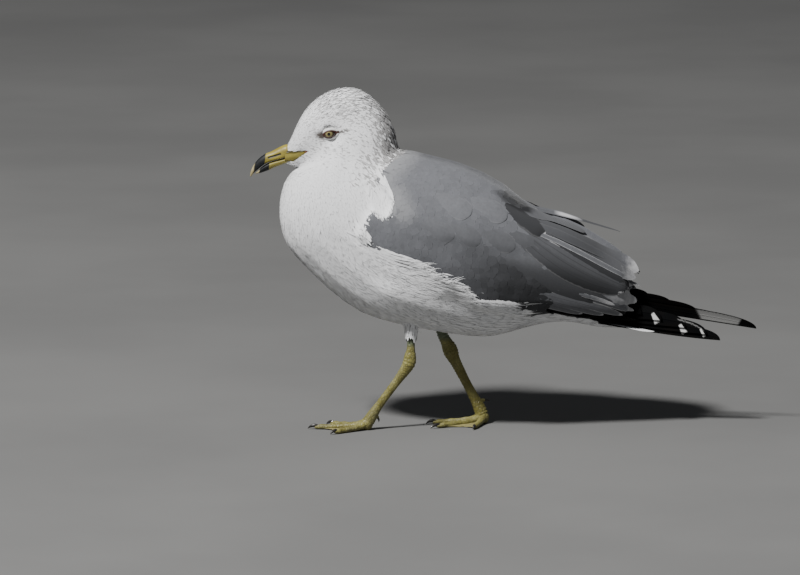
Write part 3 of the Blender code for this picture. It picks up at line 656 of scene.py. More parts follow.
def shade(points):
    """Painted shade on the grey: how much darker it is painted towards the lower rear wing, low on
    the wing's front, along the ridge of the back and in the back's hollow.
    """
    x, y, z = points[..., 0], np.abs(points[..., 1]), points[..., 2]
    seen = z - VIEW_SLOPE * y
    # painted shade where the wing's lower surfaces face away from the light, at the rear and,
    # milder, at the front
    low = 0.90 * smooth(172.0, 132.0, seen + 0.28 * x) * smooth(-85.0, 5.0, x)
    low *= 1.0 - 0.55 * smooth(85.0, 112.0, x)
    mild = 0.30 * smooth(190.0, 150.0, seen) * smooth(-125.0, -60.0, x)
    # painted shadow in the back's hollow, streaked, on the near side only
    hollow = smooth(1.25, 0.8, np.hypot((x - 8.0) / 15.0,
                                        (seen - 194.5 + 0.50 * (x - 8.0)) / 5.5))
    # painted shade along the ridge of the back
    ridge = 0.42 * smooth(15.0, 5.0, y) * smooth(-95.0, -65.0, x) * smooth(40.0, 10.0, x)
    streak = 0.86 + 0.14 * np.sin(1.9 * (seen + 0.5 * x))
    hollow = 1.25 * streak * hollow * (points[..., 1] < 0.0)     # ruffled on the near side only
    return np.maximum.reduce([low, mild, hollow, ridge * (z > 180.0)])


def fleck_density(points):
    """How likely a head tuft is to be streaked, and how dark: denser on the nape."""
    x, z = points[:, 0], points[:, 2]
    crown = smooth(258.0, 278.0, z) * 0.46 * smooth(-176.0, -158.0, x)
    nape = smooth(-124.0, -102.0, x) * smooth(222.0, 236.0, z) * smooth(300.0, 270.0, z) * 0.88
    hind = smooth(-137.0, -114.0, x) * smooth(208.0, 220.0, z) * smooth(248.0, 234.0, z) * 0.56
    cheek = smooth(-168.0, -150.0, x) * smooth(226.0, 234.0, z) * 0.12
    brow = smooth(-162.0, -150.0, x) * smooth(258.0, 264.0, z) * 0.22
    strength = 0.64 + 0.20 * smooth(-140.0, -108.0, x) + 0.30 * smooth(-112.0, -98.0, x)
    face = smooth(-186.0, -176.0, x) * smooth(228.0, 234.0, z) * 0.13
    return np.maximum.reduce([crown, nape, hind, cheek, brow, face]) * (z > 205.0), strength


def sleeve(points):
    """1 on the feathered shanks, below the belly."""
    x, y, z = points.T
    near = smooth(13.0, 8.0, np.hypot(x + 78.8, y + 16.0)) * smooth(93.0, 88.0, z)
    far = smooth(13.0, 8.0, np.hypot(x + 53.0, y - 17.6)) * smooth(88.0, 82.0, z)
    return np.maximum(near, far)


def eye_mark(points):
    """Dark smudge before the eye and the dark line behind it."""
    x, z = points[:, 0], points[:, 2]
    front = smooth(9.6, 3.2, np.hypot((x + 154.2) / 1.2, (z - 253.2) / 0.55))
    line = smooth(1.6, 0.5, np.abs(z - (256.8 + 0.33 * (x + 141.0)))) \
        * smooth(-144.0, -142.0, x) * smooth(-131.5, -136.5, x)
    return np.clip(front + 0.9 * line, 0.0, 1.0)


def unwrap(ob):
    """Unwrap of the skin's own shape, as the map OFBake."""
    ob.data.uv_layers.new(name="OFBake")
    bpy.ops.object.select_all(action="DESELECT")
    ob.select_set(True)
    bpy.context.view_layer.objects.active = ob
    bpy.ops.object.mode_set(mode="EDIT")
    bpy.ops.mesh.select_all(action="SELECT")
    bpy.ops.uv.smart_project(angle_limit=math.radians(66), island_margin=0.004)
    bpy.ops.object.mode_set(mode="OBJECT")


def skin_piece():
    """The skin itself; gives its faces' corners on the OFBake map."""
    grey = greyness(SKIN_CO)
    under = grey * smooth(18.0, 34.0, SKIN_CO[:, 0]) \
        * np.maximum(smooth(0.15, -0.1, SKIN_NORMALS[:, 2]), smooth(99.0, 103.0, SKIN_CO[:, 0])) \
        * smooth(117.0, 111.0, SKIN_CO[:, 2])
    dark = np.prod(fleck_density(SKIN_CO), axis=0) * 0.9
    ob = mesh_object("skin", SKIN_CO, SKIN_QUADS,
                     tags={"grey": grey, "under": under,
                           "fleck": np.maximum(dark, eye_mark(SKIN_CO))})
    unwrap(ob)
    finish_piece(ob, down_paint(), "trunk", *(WHITE_NODES + GREY_NODES))
    uv = np.empty(len(ob.data.loops) * 2, np.float32)
    ob.data.uv_layers["OFBake"].data.foreach_get("uv", uv)
    return uv.reshape(-1, 4, 2)


SKIN_UV = skin_piece()


# --- feathers ------------------------------------------------------------------------------
def lens_faces(rows, cols):
    """Faces of one closed vane: a top sheet and an under sheet that share their rim."""
    def top(i, j):
        return i * cols + j

    def low(i, j):
        if i in (0, rows - 1) or j in (0, cols - 1):
            return top(i, j)
        return rows * cols + (i - 1) * (cols - 2) + j - 1

    faces = []
    for i in range(rows - 1):
        for j in range(cols - 1):
            faces.append((top(i, j), top(i, j + 1), top(i + 1, j + 1), top(i + 1, j)))
            faces.append((low(i, j), low(i + 1, j), low(i + 1, j + 1), low(i, j + 1)))
    return np.array(faces, np.int32)


def both(top, low=None):
    """Values of the vanes' top sheets, then of their under sheets inside the rim."""
    low = top[:, 1:-1, 1:-1] if low is None else low
    rest = top.shape[3:]
    return np.concatenate([v.reshape(len(top), -1, *rest) for v in (top, low)], 1)


def scatter(spacing, accept, tries):
    """Random places on the skin, no two closer than the spacing there."""
    area = np.linalg.norm(FACE_AREAS, axis=1)
    picked = RNG.choice(len(area), tries, p=area / area.sum())
    s, t = RNG.random((2, tries, 1))
    q = CORNERS[picked]
    places = (q[:, 0] * (1 - s) + q[:, 1] * s) * (1 - t) + (q[:, 3] * (1 - s) + q[:, 2] * s) * t
    keep = accept(places, FACE_NORMALS[picked])
    places, picked = places[keep], picked[keep]
    gap = spacing(places)
    cell = float(gap.max())
    grid, kept = {}, []
    near = [(i, j, k) for i in (-1, 0, 1) for j in (-1, 0, 1) for k in (-1, 0, 1)]
    for n, (p, g, c) in enumerate(zip(places.tolist(), gap.tolist(),
                                      np.floor(places / cell).astype(int).tolist())):
        if not any((p[0] - q[0]) ** 2 + (p[1] - q[1]) ** 2 + (p[2] - q[2]) ** 2 < g * g
                   for d in near
                   for q in grid.get((c[0] + d[0], c[1] + d[1], c[2] + d[2]), ())):
            grid.setdefault(tuple(c), []).append(p)
            kept.append(n)
    return places[kept], picked[kept]


def lie(table, points, reach=14.0):
    """Direction and size of the coat at these places, from the table of the coat's lie."""
    rows = np.array(table, float)
    d2 = (points[:, :1] - rows[:, 0]) ** 2 + (points[:, 2:] - rows[:, 1]) ** 2
    weight = np.exp(-d2 / (2 * reach ** 2)) + 1e-4 / (d2 + 25.0)
    mixed = weight @ rows[:, 2:] / weight.sum(1, keepdims=True)
    heading = np.stack([mixed[:, 0], np.zeros(len(points)), mixed[:, 1]], 1)
    return unit(heading), mixed[:, 2], mixed[:, 3], mixed[:, 4]


def march(root, normal, heading, length, shares, stray=2.5):
    """Points and normals of each feather's spine, laid along the skin row by row."""
    p, n = root, normal
    t = across_normals(heading, n)
    points, normals, headings = [p], [n], [t]
    for k in range(1, len(shares)):
        step = (length * (shares[k] - shares[k - 1]))[:, None]
        q = p + t * step
        loc, nn, _, dist = nearest(q)
        free = ((dist > stray) | ((nn * n).sum(1) < 0.3))[:, None]
        q = np.where(free, q, loc)
        n = np.where(free, n, nn)
        p, t = q, across_normals(q - p, n)
        points.append(p)
        normals.append(n)
        headings.append(t)
    return np.stack(points, 1), np.stack(normals, 1), np.stack(headings, 1)


def grids(points, normals, headings, half, height, cols, camber, drape=0.0):
    """Top sheet of each vane, from its spine, half widths and heights over the skin."""
    across = np.cross(headings, normals)
    c = np.linspace(-1.0, 1.0, cols)
    flat = points[:, :, None, :] + across[:, :, None, :] * (half[:, :, None] * c)[..., None]
    n = np.broadcast_to(normals[:, :, None, :], flat.shape)
    if drape:
        loc, nn, _, dist = nearest(flat)
        free = ((dist > 2.0 + drape) | ((nn * n).sum(-1) < 0.75))[..., None]
        flat = np.where(free, flat, flat + (loc - flat) * drape)
        n = np.where(free, n, unit(nn + n))
    rise = height[:, :, None] + camber[:, None, None] * (1 - c ** 2)[None, None, :] \
        * (half / np.maximum(half.max(1, keepdims=True), 1e-6))[:, :, None]
    return flat + n * rise[..., None], n


def own_normals(grid):
    du, dc = np.gradient(grid, axis=1), np.gradient(grid, axis=2)
    return unit(np.cross(dc, du))


def vanes(name, grid, soft, shares, tags, uv, thick, smoothing):
    """Joined mesh of many vanes from their top sheets."""
    count, rows, cols, _ = grid.shape
    own = own_normals(grid)
    low = own[:, 1:-1, 1:-1]
    verts = both(grid, grid[:, 1:-1, 1:-1] - low * thick)
    normals = both(unit(soft * smoothing + own * (1 - smoothing)), -low)
    each = verts.shape[1]
    faces = lens_faces(rows, cols) + (np.arange(count) * each)[:, None, None]
    c = np.broadcast_to(np.linspace(-1, 1, cols), (1, rows, cols))
    along = both(np.broadcast_to(shares[:, None], (1, rows, cols)))
    across = both(c)
    spread = {"along": np.tile(along, count), "across": np.tile(across, count)}
    for key, values in tags.items():
        values = np.asarray(values, float)
        spread[key] = np.repeat(values, each) if values.ndim == 1 \
            else both(values.reshape(count, rows, cols))
    if uv is None:                                   # a strip of the map for each vane
        start = both(np.full(c.shape, 0.04), np.full((1, rows - 2, cols - 2), 0.52))
        place = (np.arange(count)[:, None] + start + 0.44 * (across * 0.5 + 0.5)) / count
        flat = np.stack([place, np.broadcast_to(0.01 + 0.98 * along, place.shape)], -1)
    else:
        local = np.stack([across[0] * 0.5, along[0] - 0.5], -1) * PATCH
        flat = np.clip(uv[:, None, :] + local, 0.0005, 0.9995)
    return mesh_object(name, verts.reshape(-1, 3), faces.reshape(-1, 4),
                       normals.reshape(-1, 3), spread, flat.reshape(-1, 2))


def split_by(keys, limit):
    """Index groups of at most limit members, cut along the given order."""
    return np.array_split(np.argsort(keys), max(1, math.ceil(len(keys) / limit)))


TUFT_SHARES = np.array([0.0, 0.34, 0.72, 1.0])
TUFT_OUTLINE = np.array([0.55, 1.0, 0.82, 0.14])
LOCK_OUTLINE = np.array([0.6, 1.0, 0.6, 0.08])
TUFT_RISE = np.array([0.0, 0.6, 0.95, 1.0])
TUFT_TRIES, TUFT_LIMIT = 420000, 8200                 # most tufts in one piece, 24 triangles each


def white_accept(places, normals):
    """Where white tufts may grow: not on the eyes, gape, bare legs or under the wings."""
    x, y, z = places.T
    ok = (greyness(places) < 0.5) & ~in_gape(places)
    ok &= ~((np.hypot((x - EYE[0]) / 1.22, z - EYE[2]) < 4.1) & (np.abs(y) > 9.0))
    bare = (z < 88.0) & (y > 5.0) & (np.abs(x + 53.0) < 11.0)
    bare |= (z < 80.5) & (y < 0.0)
    return ok & ~((x > 12.0) & (z > 113.0)) & ~bare & (x < 88.0)


def white_coat(paint):
    """Head, neck, breast, belly and flanks in small overlapping tufts and locks."""
    def fine(places):
        return 1.0 - 0.34 * smooth(200.0, 165.0, places[:, 2])

    def gap(places):
        return 0.50 * lie(WHITE_LIE, places)[2] * fine(places)

    places, faces = scatter(gap, white_accept, TUFT_TRIES)
    x, y, z = places.T
    heading, length, width, height = lie(WHITE_LIE, places)
    count = len(places)
    sock = sleeve(places)
    heading = unit(heading * (1 - sock[:, None]) + np.array([0.08, 0.0, -1.0]) * sock[:, None])
    length = length * (1 - 0.62 * sock)
    collar = smooth(7.0, 2.0, distances(GREY_TREE, places)) * smooth(186.0, 200.0, z)
    length, width = length * (1 - 0.45 * collar), width * (1 - 0.3 * collar)
    heading = heading + RNG.normal(0, 0.08, (count, 3))
    length = length * RNG.uniform(0.85, 1.25, count)
    width = width * fine(places) * RNG.uniform(0.7, 1.0, count)
    lock = RNG.random(count) < 0.35 * smooth(8.0, 13.0, length)
    width = np.where(lock, width * 0.5, width)
    length = np.where(lock, length * 1.15, length)
    ruffle = RNG.random(count) ** 3
    crest = (smooth(262.0, 285.0, z) + smooth(-112.0, -100.0, x) * (z > 225.0)) * (1 - collar)
    fluff = smooth(205.0, 175.0, z) * smooth(20.0, 0.0, x)
    tip = 0.30 * height * RNG.uniform(0.8, 1.15, count) \
        + ruffle * (0.06 + 1.10 * crest + 0.32 * fluff) + lock * 0.10
    points, normals, headings = march(places, FACE_NORMALS[faces], heading, length, TUFT_SHARES)
    outline = np.where(lock[:, None], LOCK_OUTLINE, TUFT_OUTLINE)
    half = outline * width[:, None] * 0.5
    rise = -0.12 + (tip[:, None] + 0.12) * TUFT_RISE
    grid, soft = grids(points, normals, headings, half, rise, 3, width * 0.05)
    puffed = smooth(118.0, 138.0, z) * smooth(178.0, 150.0, z) * smooth(-130.0, -110.0, x)
    soft = unit(soft + np.array([0.0, 0.0, 0.25]) * puffed[:, None, None, None])
    density, strength = fleck_density(places)
    fleck = (RNG.random(count) < density) * strength * RNG.uniform(0.7, 1.15, count)
    fleck = np.minimum(fleck, 1.0)[:, None, None] * np.array([0.15, 0.8, 1.0, 0.9])[:, None] \
        * np.array([0.45, 1.0, 0.45])
    tone = np.maximum(fleck, eye_mark(places)[:, None, None])
    root_uv = SKIN_UV[faces].mean(1)
    head, front = z > 226.0, x < -118.0
    for name, slot, mask in (("coat_head", "head", head), ("coat_breast", "trunk", ~head & front),
                             ("coat_belly", "trunk", ~head & ~front)):
        members = np.nonzero(mask)[0]
        for k, part in enumerate(split_by(y[members], TUFT_LIMIT)):
            pick = members[part]
            ob = vanes(f"{name}_{k + 1}", grid[pick], soft[pick], TUFT_SHARES,
                       {"fleck": tone[pick]}, root_uv[pick], 0.045, 0.85)
            finish_piece(ob, paint, slot)


GREY_SHARES = np.array([0.0, 0.25, 0.5, 0.75, 0.92, 1.0])
GREY_OUTLINE = np.array([0.45, 0.85, 1.0, 0.92, 0.62, 0.2])
GREY_RISE = np.array([0.0, 0.4, 0.7, 0.9, 0.97, 1.0])
GREY_TRIES, GREY_LIMIT = 60000, 2400


def grey_coat(paint):
    """Small rounded feathers of mantle and wing coverts."""
    def accept(places, normals):
        rear = (places[:, 0] > 30.0) & ((normals[:, 2] < -0.1) | (places[:, 2] < 107.0))
        return (greyness(places) > 0.5) & ~rear & (places[:, 0] < 25.0)

    def gap(places):
        return 0.32 * lie(GREY_LIE, places)[2]

    places, faces = scatter(gap, accept, GREY_TRIES)
    heading, length, width, height = lie(GREY_LIE, places)
    count = len(places)
    heading = heading + RNG.normal(0, 0.06, (count, 3))
    length = length * RNG.uniform(0.9, 1.12, count)
    width = width * RNG.uniform(0.9, 1.1, count)
    points, normals, headings = march(places, FACE_NORMALS[faces], heading, length, GREY_SHARES)
    half = GREY_OUTLINE * width[:, None] * 0.5
    tip = height * RNG.uniform(0.85, 1.1, count)
    rise = -0.15 + (0.64 * tip[:, None] + 0.15) * GREY_RISE
    grid, soft = grids(points, normals, headings, half, rise, 5, width * 0.02, 1.0)
    root_uv = SKIN_UV[faces].mean(1)
    front = np.min([segment_distance(places[:, 0], places[:, 2], a, b)
                    for a, b in zip(MANTLE_FRONT, MANTLE_FRONT[1:])], axis=0)
    pale = 0.17 * smooth(16.0, 0.0, front)
    # painted shade for each feather, blurred over the feather, with a random darker tone added
    dark = shade(grid)
    dark = 0.35 * dark + 0.65 * dark.mean(axis=(1, 2), keepdims=True)
    dark = np.clip(dark + RNG.uniform(0.0, 0.15, count)[:, None, None], 0.0, 1.3)
    for k, part in enumerate(split_by(places[:, 1], GREY_LIMIT)):
        ob = vanes(f"coat_grey_{k + 1}", grid[part], soft[part], GREY_SHARES,
                   {"dark": dark[part], "pale": pale[part]}, root_uv[part], 0.10, 0.82)
        finish_piece(ob, paint, "mantle")


# --- large feathers ------------------------------------------------------------------------
def side_hit(x, height, side):
    """Place and normal on the skin behind a point of the side view, or None."""
    loc, _, index, _ = side_ray(TREE, x, height, side)
    if loc is None or loc.y * side < -13.0:
        return None
    return np.array(loc), FACE_NORMALS[index]


def laid_spine(side, root, tip, bow, shares):
    """Spine of one large feather over the skin, going straight on where the skin ends."""
    root, tip = np.array(root, float), np.array(tip, float)
    across = np.array([-(tip - root)[1], (tip - root)[0]])
    points, normals = [], []
    for u in shares:
        x, height = root + (tip - root) * u + across * bow * 4 * u * (1 - u)
        hit = side_hit(x, height, side)
        if hit is not None and points:
            if abs(hit[0][1] - points[-1][1]) > 3.0 + 1.5 * abs(x - points[-1][0]):
                hit = None
        if hit is None:
            y = abs(points[-1][1]) if points else 8.0
            if len(points) > 1:                      # go on along the line so far
                slope = (abs(points[-1][1]) - abs(points[-2][1])) \
                    / max(points[-1][0] - points[-2][0], 0.5)
                y = max(y + np.clip(slope, -0.45, 0.0) * (x - points[-1][0]), 2.4)
            place = np.array([x, side * y, height + VIEW_SLOPE * y])
            normal = normals[-1] if normals else np.array([0.0, 0.6 * side, 0.8])
            loc, near_normal, _, dist = nearest(place[None])
            if dist[0] < 6.0 and near_normal[0][1] * side > -0.2 and x < 100.0:
                place, normal = loc[0], near_normal[0]
        else:
            place, normal = hit
        points.append(place)
        normals.append(normal)
    points, normals = np.array(points), np.array(normals)
    for _ in range(3):                              # a feather's shaft is stiff: no kinks
        normals[1:-1] = unit(normals[:-2] + 2 * normals[1:-1] + normals[2:])
        points[1:-1] = 0.25 * points[:-2] + 0.5 * points[1:-1] + 0.25 * points[2:]
    return points, normals, across_normals(np.gradient(points, axis=0), normals)


BIG_SHARES = np.array([0, .06, .13, .2, .28, .36, .44, .52, .6, .68, .76, .83, .89, .935, .97,
                       .99, 1.0])
BIG_OUTLINE = np.array([.3, .55, .78, .9, .97, 1, 1, 1, .99, .97, .94, .89, .80, .67, .48, .3, .1])
BIG_COLS = 9


def laid_rows(rows, side, shares):
    """Spines of a table's feathers, their widths, root lifts and how much more the tips lift."""
    spines = [laid_spine(side, row[0], row[1], row[5], shares) for row in rows]
    width, low, high = (np.array([row[i] for row in rows], float) for i in (2, 3, 4))
    return *(np.stack(part) for part in zip(*spines)), width, low[:, None], (high - low)[:, None]


def layer(name, side, rows, paint, slot):
    """One layer of large feathers, each laid along the skin from root to tip."""
    raised = 0.0 if name == "far_tertials" else 1.0
    rows = [(*(lifted(place, side, raised) for place in row[:2]), *row[2:]) for row in rows]
    points, normals, headings, width, low, more = laid_rows(rows, side, BIG_SHARES)
    ragged = 1.0 + RNG.normal(0, 0.02, (len(rows), len(BIG_SHARES)))
    half = BIG_OUTLINE * width[:, None] * 0.5 * ragged
    rise = low + more * BIG_SHARES ** 1.2 - 1.2 * np.clip(1 - BIG_SHARES / 0.12, 0, 1)
    grid, soft = grids(points, normals, headings, half, rise, BIG_COLS, width * 0.045,
                       {"far_tertials": 0.0, "scapulars": 1.0}.get(name, 0.8))
    *_, tone, rim, tip, shaft, own = (np.array(column) for column in zip(*rows))
    own = own[:, None, None]
    # painted shade: the place's shade, cut by a negative darkness or added to by a positive one,
    # and faded over the pale tips
    dark = np.clip(shade(grid) * np.where(own < 0, 1.0 + own, 1.0) + np.maximum(own, 0.0),
                   0.0, 1.3)
    lit = smooth(0.58, 0.92, BIG_SHARES)[:, None] * (tip > 0.1)[:, None, None]  # pale tips
    tags = {"tone": tone, "white_rim": rim, "white_tip": tip, "shaft": shaft,
            "dark": dark * (1.0 - 0.75 * lit)}
    ob = vanes(f"{WORD[side]}_{name}", grid, soft, BIG_SHARES, tags, None, 0.25, 0.55)
    finish_piece(ob, paint, slot)


# Large feathers by layer, the lowest first: root, tip, width, root lift, tip lift, bow, then
# tone, pale rim, pale tip, shaft and darkness: painted shade added to the feather, taken off
# where below 0.
LAYERS = (
    ("secondaries", "wing", (
        ((-5, 115), (66, 98.5), 8.0, 0.0, 0.5, 0.01, 0.95, 0.60, 0.03, 0.4, -0.8),
        ((5, 117), (84, 97.5), 8.0, 0.2, 0.8, 0.01, 0.95, 0.65, 0.03, 0.4, -0.9),
        ((15, 119), (100, 97.5), 7.5, 0.4, 1.1, 0.01, 1.0, 0.75, 0.04, 0.4, -0.95),
        ((30, 124), (109, 101.0), 7.5, 0.6, 1.4, 0.01, 1.0, 1.00, 0.08, 0.4, -0.95),
        ((58, 116.5), (93, 106.0), 3.4, 1.2, 1.8, 0.02, 0.95, 1.00, 0.60, 0.0, -1.0))),
    ("rear_coverts", "wing", (
        ((-14, 150), (82, 109.0), 19, 0.1, 0.8, 0.0, 0.90, 0.0, 0.0, 0.04, 0.0),
        ((0, 149), (97, 108.5), 20, 0.2, 1.0, 0.0, 0.90, 0.0, 0.0, 0.04, 0.0),
        ((14, 147), (111.5, 109.0), 19, 0.3, 1.5, 0.0, 1.0, 0.04, 0.30, 0.06, -0.6))),
    ("far_tertials", "tertials", (
        ((20, 168), (109.0, 123), 17, 0.3, 0.9, 0.0, 0.80, 0.03, 0.14, 0.10, 0.38),
        ((16, 176), (111.0, 128.5), 20, 0.6, 1.2, 0.0, 0.80, 0.03, 0.13, 0.10, 0.50),
        ((18, 179.5), (114.5, 135), 18.5, 1.0, 1.5, 0.01, 0.80, 0.03, 0.15, 0.10, 0.55),
        ((12, 187), (68, 167), 16, 1.3, 2.0, 0.02, 0.85, 0.03, 0.0, 0.05, 0.40))),
    ("near_tertials", "tertials", (
        ((12, 165), (100, 117.0), 14, 1.0, 1.9, -0.088, 0.60, 0.14, 0.03, 0.7, 0.42),
        ((15, 168), (103, 117.5), 12, 1.2, 2.1, -0.058, 0.55, 0.35, 0.03, 0.7, 0.38),
        ((16, 170), (106.5, 118.5), 10, 1.4, 2.3, -0.030, 0.65, 0.50, 0.03, 0.8, 0.28),
        ((38, 161), (109, 119.5), 8.5, 1.5, 2.5, -0.002, 0.30, 0.60, 0.03, 0.8, 0.80),
        ((17, 171), (113, 121), 4.8, 1.8, 2.9, 0.020, 0.90, 0.7, 0.06, 0.6, -0.3))),
    ("scapulars", "mantle", (
        ((-84, 182), (-43, 162.5), 21, -0.6, 0.9, 0.03, 0.88, 0.06, 0.0, 0.0, 0.10),
        ((-60, 179), (-21, 158.0), 21, -0.6, 1.0, 0.03, 0.85, 0.06, 0.0, 0.0, 0.16),
        ((-38, 176), (8, 153.5), 21, -0.6, 1.1, 0.03, 0.85, 0.06, 0.0, 0.0, 0.16),
        ((-16, 174), (32, 151.5), 19, -0.6, 1.2, 0.03, 0.80, 0.06, 0.0, 0.0, 0.32),
        ((-68, 202), (-29, 182.0), 24, -0.6, 1.1, 0.04, 0.92, 0.06, 0.0, 0.0, -0.3),
        ((-40, 200), (1, 178.5), 24, -0.6, 1.3, 0.04, 0.92, 0.06, 0.0, 0.0, -0.2),
        ((-12, 195), (34, 164.5), 23, -0.4, 1.8, 0.05, 0.85, 0.10, 0.02, 0.0, 0.95))),
)


def lifted(place, side, raised):
    """The right wing lies higher behind the back than the left one."""
    if side < 0:
        return place
    return place[0], place[1] + (0.105 * raised - 0.03) * max(place[0] - 20.0, 0.0)


def wing_feathers(paint):
    for side in (LEFT, RIGHT):
        for name, slot, rows in LAYERS:
            layer(name, side, rows, paint, slot)


STRAY = ((20.0, 189.5), (46.0, 184.5), (61.0, 180.0), (80.0, 174.0), (99.0, 168.3))


def stray_feather(paint):
    """One loose feather standing off the back, its rear half a thin bare blade."""
    u = BIG_SHARES
    x = 20.0 + 79.0 * u
    height = np.interp(x, *zip(*STRAY))
    for _ in range(2):
        height[1:-1] = 0.25 * height[:-2] + 0.5 * height[1:-1] + 0.25 * height[2:]
    y = np.interp(x, (20.0, 42.0, 100.0), (-8.0, 3.0, 3.5))
    points = np.stack([x, y, height - VIEW_SLOPE * y], -1)[None]
    normals = np.broadcast_to(unit(np.array([0.25, -0.75, 0.6])), points.shape)
    headings = unit(np.gradient(points, axis=1))
    half = 0.5 * np.interp(x, (20, 30, 48, 60, 66, 72, 90, 99),
                           (3.0, 5.0, 5.0, 3.8, 2.4, 2.0, 1.5, 0.3))
    grid, soft = grids(points, normals, headings, half[None], np.full((1, len(u)), 0.5),
                       BIG_COLS, np.array([0.3]))
    c = np.linspace(-1, 1, BIG_COLS)
    white = smooth(42, 47, x)[:, None] * smooth(64, 59, x)[:, None] * smooth(0.9, 0.4, np.abs(c))
    ob = vanes("stray_feather", grid, soft, u,
               {"tone": [0.45], "white_rim": [0.0], "white_tip": np.zeros(1), "shaft": [0.4],
                "dark": 0.7 * smooth(60, 66, x)[None, :, None] * np.ones((1, 1, BIG_COLS)),
                "patch": white[None]}, None, 0.25, 0.4)
    finish_piece(ob, paint, "tertials")


# --- locks over the edges of the wing ----------------------------------------------------------
LOCK_SHARES = np.array([0.0, 0.3, 0.6, 0.85, 1.0])
LOCK_WIDTHS = np.array([0.5, 1.0, 0.85, 0.5, 0.1])
LOCK_RISE = np.array([0.0, 0.6, 0.9, 1.0, 1.0])
LOBE = ((-113, 186), (-108, 180.5), (-103, 177), (-97.5, 179), (-93.5, 186), (-92.5, 193),
        (-94.5, 201))


def locks(name, side, rows, paint):
    """Narrow white locks laid over the coat: root, tip, width, root lift, tip lift, bow."""
    points, normals, headings, width, low, more = laid_rows(rows, side, LOCK_SHARES)
    grid, soft = grids(points, normals, headings, LOCK_WIDTHS * width[:, None] * 0.5,
                       low + more * LOCK_RISE, 3, width * 0.06)
    soft = unit(soft + np.array([-0.1, 0.0, 0.15]))       # the puffed coat faces the sky
    index = nearest(points[:, 0])[2]
    ob = vanes(f"{WORD[side]}_{name}", grid, soft, LOCK_SHARES, {"fleck": np.zeros(len(rows))},
               SKIN_UV[index].mean(1), 0.05, 0.85)
    finish_piece(ob, paint, "trunk")


def edge_locks(paint):
    """White flank and breast locks that overlap the wing's lower edge and its front."""
    lx, lz = (np.array(v, float) for v in zip(*LOBE))
    run = np.concatenate([[0], np.cumsum(np.hypot(np.diff(lx), np.diff(lz)))])
    for side in (LEFT, RIGHT):
        rows = []
        for layer_down, count in ((7.0, 300), (4.0, 340), (1.6, 380), (-0.6, 260)):
            for x in np.sort(RNG.uniform(-128.0, 13.0, count)):
                slope = -0.24 - 0.22 * smooth(-70.0, -115.0, x) + RNG.normal(0, 0.04)
                length = RNG.uniform(12.0, 20.0)
                out = RNG.uniform(1.5, 6.0) * (1.0 - 0.35 * smooth(-30.0, -15.0, x))
                tip = np.array([x, edge_height(x) - layer_down]) + out * np.array([1, slope])
                root = tip - length * np.array([1, slope])
                rows.append((root, tip, RNG.uniform(0.9, 1.6), -0.2,
                             (RNG.uniform(0.5, 1.3) + 0.05 * (7.0 - layer_down))
                             * (0.35 + 0.65 * smooth(-112.0, -80.0, x)),
                             RNG.normal(0, 0.04)))
        for _ in range(16):                          # a few loose curled barbs
            x = RNG.uniform(-66.0, -38.0)
            root = np.array([x - 9.0, edge_height(x) - 1.0])
            tip = np.array([x + RNG.uniform(1, 6), edge_height(x) + RNG.uniform(1.5, 6.5)])
            rows.append((root, tip, 0.7, 0.8, RNG.uniform(2.0, 4.0), RNG.uniform(0.05, 0.3)))
        locks("flank_locks", side, rows, paint)
        rows = []
        for inset, count in ((13.0, 90), (8.0, 130), (3.5, 160), (0.0, 170)):
            for t in RNG.uniform(0, run[-1], count):
                tip = np.array([np.interp(t, run, lx), np.interp(t, run, lz)])
                share = t / run[-1]
                lead = unit(np.array([0.15 + 0.55 * share + RNG.normal(0, 0.08), -1.0]))
                tip = tip - lead * (inset + RNG.uniform(-1.5, 1.5))
                rows.append((tip - lead * RNG.uniform(9.0, 14.0), tip, RNG.uniform(1.1, 2.0), -0.1,
                             RNG.uniform(0.8, 1.6), RNG.normal(0, 0.04)))
        for _ in range(150):                         # close the corner under the wing's front
            tip = np.array([RNG.uniform(-121.0, -111.5), RNG.uniform(156.0, 171.0)])
            if tip[1] < 158.0 + 0.9 * (tip[0] + 117.0) ** 2 / 5.0 or tip[0] < -116.0:
                rows.append((tip - RNG.uniform(7.0, 11.0) * np.array([0.66, -0.75]), tip,
                             RNG.uniform(1.8, 2.8), 0.3, RNG.uniform(0.9, 1.7), 0.03))
        locks("breast_locks", side, rows, paint)


def sleeve_locks(paint):
    """The fluffy white sleeve round the near shank."""
    rows, count = LOCK_SHARES, 200
    turn = RNG.uniform(0, 2 * np.pi, count)
    high = RNG.uniform(84.0, 98.0, count)
    length = RNG.uniform(6.5, 9.0, count)
    z = high[:, None] - length[:, None] * rows
    radius = np.interp(z, (74.0, 79.0, 86.0, 98.0), (3.4, 4.2, 5.4, 8.0)) \
        + 0.5 * rows + RNG.uniform(-0.3, 0.3, count)[:, None]
    out = np.stack([np.cos(turn), np.sin(turn), np.zeros(count)], -1)
    points = np.stack([-78.6 + radius * out[:, :1], -15.8 + radius * out[:, 1:2], z], -1)
    normals = np.broadcast_to(out[:, None, :], points.shape)
    headings = unit(np.gradient(points, axis=1))
    width = RNG.uniform(1.8, 3.0, count)
    grid, soft = grids(points, normals, headings, LOCK_WIDTHS * width[:, None] * 0.5,
                       np.zeros((count, len(rows))), 3, width * 0.06)
    index = nearest(points[:, 0])[2]
    ob = vanes("left_sleeve_locks", grid, soft, LOCK_SHARES, {"fleck": np.zeros(count)},
               SKIN_UV[index].mean(1), 0.07, 0.7)
    finish_piece(ob, paint, "shank")


